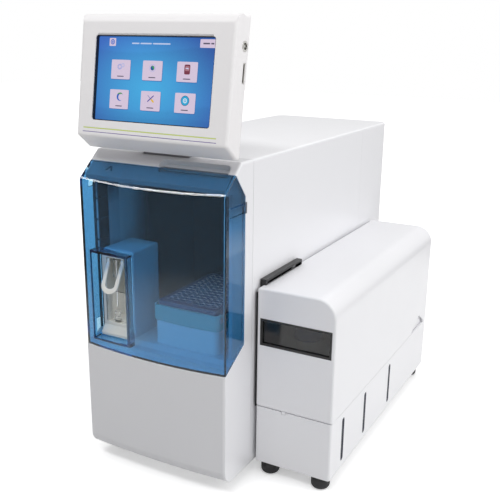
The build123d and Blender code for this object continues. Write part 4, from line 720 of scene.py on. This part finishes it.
class ANALYZER_OT_screen(bpy.types.Operator):
    """Make the lit picture with its tiles and signs"""

    bl_idname = "analyzer.screen"
    bl_label = "Screen picture"

    def execute(self, context):
        setting = context.scene.analyzer_screen
        lit = lit_picture()
        centres = [on_picture(x, y) for y in (0.386, 0.741) for x in (0.21, 0.487, 0.7775)]
        layers = [
            ("screen_picture", [self.background(setting)], False),
            ("screen_tiles", self.tiles(setting, centres) + self.signs(centres), True),
            ("screen_arcs", self.arcs(centres), False),
        ]
        for name, parts, wrap in layers:
            shapes, colours = zip(*parts)
            piece = surface(name, shapes, "display", lit, wrap=wrap, colours=colours)
            face_front(piece)
        return {"FINISHED"}

    def background(self, setting):
        """Colour from centre to edge by the oval distance to the power 1.3, darker in the upper right corner.

        Three waves add soft steps 1 / (1 + e^(160 (down - wave))).
        """
        across, down = np.meshgrid(np.linspace(0, 1, 121), np.linspace(0, 1, 81))
        away = np.sqrt(((across - 0.47) / 0.62) ** 2 + ((down - 0.60) / 0.75) ** 2)
        share = (np.clip(away, 0, 1) ** 1.3)[..., None]
        colour = np.array(setting.centre) * (1 - share) + np.array(setting.edge) * share
        colour = colour * (1 - 0.35 * np.clip(across - down - 0.2, 0, 1))[..., None]
        for height, bend, strength in ((0.16, -0.10, 0.10), (0.86, -0.16, 0.09), (0.93, 0.05, 0.06)):
            wave = height + bend * (across - 0.3) ** 2 + 0.02 * np.sin(5 * across)
            colour = colour * (1 + strength * (1 / (1 + np.exp((down - wave) * 160)) - 0.5))[..., None]
        return on_face(*on_picture(across, down), GROUND), colour

    def tiles(self, setting, centres):
        """Menu tiles with a shadow and a line of text, a corner tile, a status tile and the title's words."""
        ink, shadow, title = linear(96, 90, 110), linear(52, 110, 176), linear(190, 205, 238)
        half = np.array([setting.tile_width, setting.tile_height]) / MM / 2
        drawn = []
        for x, y in centres:
            drawn += [
                (blob((x + 0.4, y - 0.6), half * 1.015, SHADOW, 40, 48), shadow),
                (blob((x, y), half, TILE, 40, 48), setting.tile),
                (blob((x, y - 7.4), (4.6, 0.55), SIGN, 8, 24), ink),
            ]
        x, y = on_picture(0.124, 0.064)
        drawn += [
            (blob((x, y), (4.5, 4.3), TILE, 20), setting.tile),
            (blob((x, y + 0.2), (2.9, 2.9), SIGN, 2, 36, hole=0.68), linear(44, 96, 196)),
            (blob((x, y + 0.2), (1.0, 1.4), SIGN, 3), linear(70, 120, 205)),
        ]
        x, y = on_picture(0.932, 0.062)
        drawn += [
            (blob((x, y), (10.1, 4.4), TILE, 30), setting.tile),
            (blob((x - 2.2, y), (4.2, 0.8), SIGN, 8), ink),
            (blob((x + 5.2, y), (1.9, 0.8), SIGN, 8), ink),
        ]
        x, y = on_picture(0.47, 0.075)
        words = ((-22.0, 5.0), (-8.0, 7.5), (12.5, 11.5))
        return drawn + [(blob((x + offset, y), (half_long, 0.75), TILE, 8), title) for offset, half_long in words]

    def signs(self, centres):
        """Discs, bars and cog wheels of the signs."""
        return [
            (blob(np.add(centres[tile], place), half, layer, **look), linear(*colour))
            for tile, place, half, layer, colour, look in SIGNS
        ]

    def arcs(self, centres):
        """Crescents of the signs."""
        return [
            (crescent(np.add(centres[tile], place), radius, layer, start, stop, thick), linear(*colour))
            for tile, place, radius, layer, start, stop, thick, colour in ARCS
        ]


class ANALYZER_OT_stripes(bpy.types.Operator):
    """Make the two printed stripes under the screen"""

    bl_idname = "analyzer.stripes"
    bl_label = "Display stripes"

    def execute(self, context):
        for name, colour, *ends, thick in STRIPES:
            ink = moulded(name + "_ink", linear(*colour), 0.45, 0.04, 0.2, {"Edge Radius": 0.0001})
            piece = surface(name, [self.stripe(*ends, thick)], "display", ink)
            face_front(piece)
        return {"FINISHED"}

    def stripe(self, u0, u1, v0, v1, thick):
        """Flat band: u = u0 + s (u1 - u0), v = v0 + s (v1 - v0), with half the thickness above and below."""
        share = np.linspace(0, 1, 40)[None]
        rows = np.array([[-0.5], [0.5]])
        return on_face(u0 + (u1 - u0) * share, v0 + (v1 - v0) * share + rows * thick, PRINT_DEPTH)


class ANALYZER_OT_gap_shade_strip(bpy.types.Operator):
    """Make the black strip that stands for the shade in the gap between body and cabinet"""

    bl_idname = "analyzer.cabinet_seal"
    bl_label = "Gap shade strip"

    def execute(self, context):
        # Painted shade: a black strip where the gap between body and cabinet lies in shade
        shade_strip_black = moulded("gap_shade_black", linear(22, 22, 26), 0.85, 0.15, 0.03, {"Grain Height": 0.00005})
        piece = surface("gap_painted_shade", [self.strip()], "main_body", shade_strip_black, wrap=True)
        return {"FINISHED"}

    def strip(self):
        """Rounded rectangle raised from its lower to its upper end, both closed by a ring of no size."""
        body_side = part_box("main_cover")[1][0] / MM
        cabinet_side, front = (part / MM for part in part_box("cabinet_base")[0][:2])
        wide = SHADE_STRIP_SHARE * (cabinet_side - body_side)
        centre = (cabinet_side - wide / 2 - 0.1, front + SHADE_STRIP_BEHIND)
        outline = rounded_rectangle(wide / 2, SHADE_STRIP_HALF, 0.5, 24)
        scale = np.array([0.0, 1.0, 1.0, 0.0])[:, None, None]
        return raised(scale * outline + centre, [SHADE_STRIP_LOW, SHADE_STRIP_LOW, SHADE_STRIP_HIGH, SHADE_STRIP_HIGH])


class ANALYZER_OT_well_plate(bpy.types.Operator):
    """Make the microplate with its 96 wells"""

    bl_idname = "analyzer.well_plate"
    bl_label = "Microplate"

    def execute(self, context):
        setting = context.scene.analyzer_plate
        tint = context.scene.analyzer_finish.plate
        pitch, radius, depth = setting.pitch / MM, setting.well_radius / MM, setting.well_depth / MM
        grids = [self.well(pitch, radius, depth, place) for place in np.ndindex(COLUMNS, ROWS)]
        grids.append(self.skirt(pitch))
        piece = surface("microplate", grids, "microplate", self.tinted(tint, pitch), wrap=True)
        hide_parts("well_plate")
        return {"FINISHED"}

    def tinted(self, tint, pitch):
        """Tinted plastic with a strong painted edge highlight, and a painted highlight on the lips in the rear half of
        each cell, near its middle line.
        """
        coat = {"Coat Weight": 0.6, "Coat Roughness": 0.08}
        material = moulded("plate_tinted", tint, 0.22, 0.06, 0.9, {"Edge Radius": 0.0006}, coat)
        w, place, group = opened(material)
        lip = w.math("GREATER_THAN", place[2], float(PLATE_HIGH[2] - 0.2) * MM)
        shares = []
        for axis, cells in enumerate((COLUMNS, ROWS)):
            start = float(PLATE_MIDDLE[axis] - cells / 2 * pitch) * MM
            shares.append(w.math("FRACT", w.math("DIVIDE", w.minus(place[axis], start), pitch * MM)))
        across, along = shares
        inner = w.math("LESS_THAN", w.math("ABSOLUTE", w.minus(across, 0.5)), 0.26)
        rear = w.times(inner, w.math("GREATER_THAN", along, 0.5))
        # Painted highlight: glints on the rear of each well's lip
        painted_glint = w.times(lip, w.plus(w.times(rear, 0.9), 0.1))
        w.fill(group, {"Colour": w.blend(painted_glint, (*tint, 1), (0.95, 0.98, 1.0, 1))})
        return material

    def well(self, pitch, radius, depth, place):
        """One cell of the deck: rings (radius, height) from the well's floor over its lip, then the cell's square edge.

        That edge is the circle over max(|cos a|, |sin a|).
        """
        rings = np.array([(0, -depth), (0.8, -depth), (0.94, -depth * 0.35), (1, LIP_TALL), (1.2, LIP_TALL), (1.24, 0)])
        angle = np.linspace(0, TAU, 24, endpoint=False)
        around = np.stack([np.cos(angle), np.sin(angle)], -1)
        edge = around / np.abs(around).max(-1, keepdims=True) * pitch / 2
        flat = np.concatenate([rings[:, 0, None, None] * radius * around, edge[None]])
        centre = PLATE_MIDDLE[:2] + (np.array(place) - ((COLUMNS - 1) / 2, (ROWS - 1) / 2)) * pitch
        return raised(flat + centre, DECK + np.append(rings[:, 1], 0.0))

    def skirt(self, pitch):
        """Well field's own outline, then rings down the stepped skirt and under the plate, by inset, corner and height.

        Each ring is the field's outline scaled out, its corners pushed in to q + r (p - q) / |p - q|.
        """
        half = (PLATE_HIGH - PLATE_LOW)[:2] / 2
        notches = pitch / 2 * np.tan(np.radians(np.arange(-45, 45, 15)))
        along_x, along_y = (
            ((np.arange(cells)[:, None] - (cells - 1) / 2) * pitch + notches).ravel() for cells in (COLUMNS, ROWS)
        )
        far_x, far_y = COLUMNS / 2 * pitch, ROWS / 2 * pitch
        sides = [(along_x, -far_y), (far_x, along_y), (-along_x, far_y), (-far_x, -along_y)]
        field = np.concatenate([np.stack(np.broadcast_arrays(x, y), -1) for x, y in sides])
        foot = LIP_TALL - PLATE_TALL
        steps = [
            (1.6, 3.0, 0.0), (1.4, 3.0, -0.3), (1.4, 3.0, foot + 3.3), (0.25, 3.0, foot + 2.9), (0.0, 3.0, foot + 2.6),
            (0.0, 3.0, foot + 0.2), (0.4, 2.6, foot), (1.5, 2.0, foot), (1.9, 2.0, foot + 1.95),
        ]
        rings = [field]
        for inset, corner, _ in steps:
            edge = field * (half - inset) / (far_x, far_y)
            inner = np.clip(edge, inset + corner - half, half - inset - corner)
            rings.append(inner + corner * (edge - inner) / np.linalg.norm(edge - inner, axis=1, keepdims=True))
        rings.append(np.zeros_like(field))
        heights = [0.0] + [height for _, _, height in steps] + [foot + 1.95]
        return raised(np.stack(rings) + PLATE_MIDDLE[:2], DECK + np.array(heights))


class ANALYZER_OT_sample_lever(bpy.types.Operator):
    """Make the rounded sample lever"""

    bl_idname = "analyzer.sample_lever"
    bl_label = "Sample lever"

    def execute(self, context):
        low, high = np.array(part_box("sample_lever")) / MM
        pivot = np.array([(low[0] + high[0]) / 2, *LEVER_PIVOT])
        rise, run = math.cos(LEVER_LEAN), math.sin(LEVER_LEAN)
        down, front = np.array([[0.0, -run, -rise], [0.0, -rise, run]])
        satin = moulded("lever_satin", linear(236, 235, 229), 0.30, 0.02, 0.3)
        piece = surface("lever_bow", [self.bow(pivot, down, front)], "lever", satin, wrap=True, sharp=60)
        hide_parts("sample_lever")
        return {"FINISHED"}

    def bow(self, pivot, down, front):
        """U swept with a rounded section: down each leg and round the bow.

        At its ends the section's thickness follows a circle about the pivot and its width closes.
        """
        leg, reach, eye, half_thick = 30.0, 8.4, 3.2, 1.5
        half_at_eyes, half_at_bow = 10.6, 9.9
        length = 2 * (leg + eye) + math.pi * 0.5 * (half_at_bow + reach)
        along = np.linspace(0, 1, 121) * length - eye
        back_along = length - 2 * eye - along
        turn = np.clip((along - leg) / (length - 2 * (leg + eye)), 0, 1) * math.pi
        drop = np.where(along < leg, along, np.where(back_along < leg, back_along, leg + reach * np.sin(turn)))
        down_leg = np.clip(np.minimum(along, back_along) / leg, 0, 1)
        across = -(half_at_eyes + (half_at_bow - half_at_eyes) * down_leg) * np.cos(turn)
        path = pivot + across[:, None] * np.array([1.0, 0, 0]) + drop[:, None] * down
        tangent = np.gradient(path, axis=0)
        tangent /= np.linalg.norm(tangent, axis=1, keepdims=True)
        outward = np.cross(front, tangent)
        from_end = np.minimum(along + eye, length - eye - along) / eye
        round_eye = eye * np.sqrt(np.clip(1 - (1 - np.clip(from_end, 0, 2)) ** 2, 0, 1))
        thick = np.where(from_end < 1, round_eye, np.maximum(half_thick, round_eye))
        wide = (2.15 + 0.7 * down_leg + 0.5 * np.sin(turn) ** 2) * np.clip(from_end * 4, 0, 1) ** 0.5
        angle = np.linspace(0, TAU, 20, endpoint=False)
        side, over = (np.sign(part) * np.abs(part) ** 0.6 for part in (np.cos(angle), np.sin(angle)))
        section = outward[:, None] * (wide[:, None] * side)[..., None] + front * (thick[:, None] * over)[..., None]
        return path[:, None] + section


class ANALYZER_OT_needle_guard(bpy.types.Operator):
    """Make the needle's glass guard tube"""

    bl_idname = "analyzer.needle_guard"
    bl_label = "Needle guard"

    def execute(self, context):
        low, high = np.array(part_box("needle_guard")) / MM
        tall = high[2] - low[2]
        profile = [
            (0.9, tall), (3.9, tall), (4.4, tall - 0.4), (4.6, tall - 1.2), (4.6, 1.4), (4.55, 0.6), (4.4, 0.12),
            (4.15, 0.0), (3.9, 0.12), (3.75, 0.6), (3.7, 1.4), (3.7, tall - 3), (3.0, tall - 2.2), (0.9, tall - 2.0),
            (0.9, tall),
        ]
        tube = lathe(profile, (*(low + high)[:2] / 2, low[2]), 40)
        glass = clear("guard_glass", colour=(0.97, 0.98, 0.98), roughness=0.01, smear=0.03, waviness=0.0, ior=1.5)
        piece = surface("guard_tube", [tube], "main_body", glass, wrap=True, sharp=50)
        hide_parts("needle_guard")
        return {"FINISHED"}


class ANALYZER_OT_bottle_caps(bpy.types.Operator):
    """Make the ribbed caps of the three bottles"""

    bl_idname = "analyzer.bottle_caps"
    bl_label = "Bottle caps"

    def execute(self, context):
        blue = moulded("cap_blue", linear(44, 82, 150), 0.38, 0.04, 0.25)
        profile = [
            (0.0, 14.0), (3.4, 14.0), (3.4, 15.0), (2.5, 15.4), (2.5, 19.4), (2.1, 21.0), (1.3, 21.0), (1.3, 17.0),
            (0.0, 17.0),
        ]
        for name in ("buffer_bottle", "reagent_bottle", "waste_bottle"):
            low, high = np.array(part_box(name + "_cap")) / MM
            x, y = (low + high)[:2] / 2
            cap = self.ribbed((x, y), low[2])
            fittings = [lathe(profile, (x + side, y, low[2]), cap.shape[1]) for side in (-6, 6)]
            piece = surface(name + "_ribbed_cap", [cap, *fittings], "main_body", blue, wrap=True)
            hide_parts(name + "_cap")
        return {"FINISHED"}

    def ribbed(self, centre, low):
        """Cap whose radius on its side is R (1 - 0.03 (1 + cos(ribs a)) / 2), with a smooth top."""
        profile = [(0.0, 0.0), (1.0, 0.0), (1.0, 0.06), (1.0, 0.88), (0.97, 0.96), (0.93, 1.0), (0.0, 1.0)]
        share, tall = np.array(profile).T[:, :, None]
        depth = 0.03 * np.array([0, 0, 1, 1, 0.3, 0, 0.0])[:, None]
        angle = np.linspace(0, TAU, 6 * CAP_RIBS, endpoint=False)
        radius = CAP_RADIUS * share * (1 - depth * (1 + np.cos(CAP_RIBS * angle)) / 2)
        return turned(radius, low + CAP_TALL * tall, angle, centre)


OPERATORS = [
    ANALYZER_OT_stage, ANALYZER_OT_finishes, ANALYZER_OT_screen, ANALYZER_OT_stripes, ANALYZER_OT_gap_shade_strip,
    ANALYZER_OT_well_plate, ANALYZER_OT_sample_lever, ANALYZER_OT_needle_guard, ANALYZER_OT_bottle_caps,
]


class ANALYZER_PT_panel(bpy.types.Panel):
    """Sidebar list of the analyzer's pieces"""

    bl_idname = "ANALYZER_PT_panel"
    bl_label = "Bench analyzer"
    bl_space_type = "VIEW_3D"
    bl_region_type = "UI"
    bl_category = "Analyzer"

    def draw(self, context):
        for operator in OPERATORS:
            self.layout.operator(operator.bl_idname)


SETTINGS = [
    ("analyzer_finish", AnalyzerFinishSettings),
    ("analyzer_screen", AnalyzerScreenSettings),
    ("analyzer_plate", AnalyzerPlateSettings),
]


def register():
    """Registers the settings, operators and panel."""
    for name, group in SETTINGS:
        bpy.utils.register_class(group)
        setattr(bpy.types.Scene, name, bpy.props.PointerProperty(type=group))
    for part in (*OPERATORS, ANALYZER_PT_panel):
        bpy.utils.register_class(part)


def unregister():
    """Takes them out again, in the opposite order."""
    for part in (ANALYZER_PT_panel, *reversed(OPERATORS)):
        bpy.utils.unregister_class(part)
    for name, group in reversed(SETTINGS):
        delattr(bpy.types.Scene, name)
        bpy.utils.unregister_class(group)


def main():
    """Registers the add-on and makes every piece."""
    register()
    bpy.context.scene.view_settings.view_transform = "Standard"
    for operator in OPERATORS:
        group, name = operator.bl_idname.split(".")
        getattr(getattr(bpy.ops, group), name)()


if __name__ == "__main__":
    main()
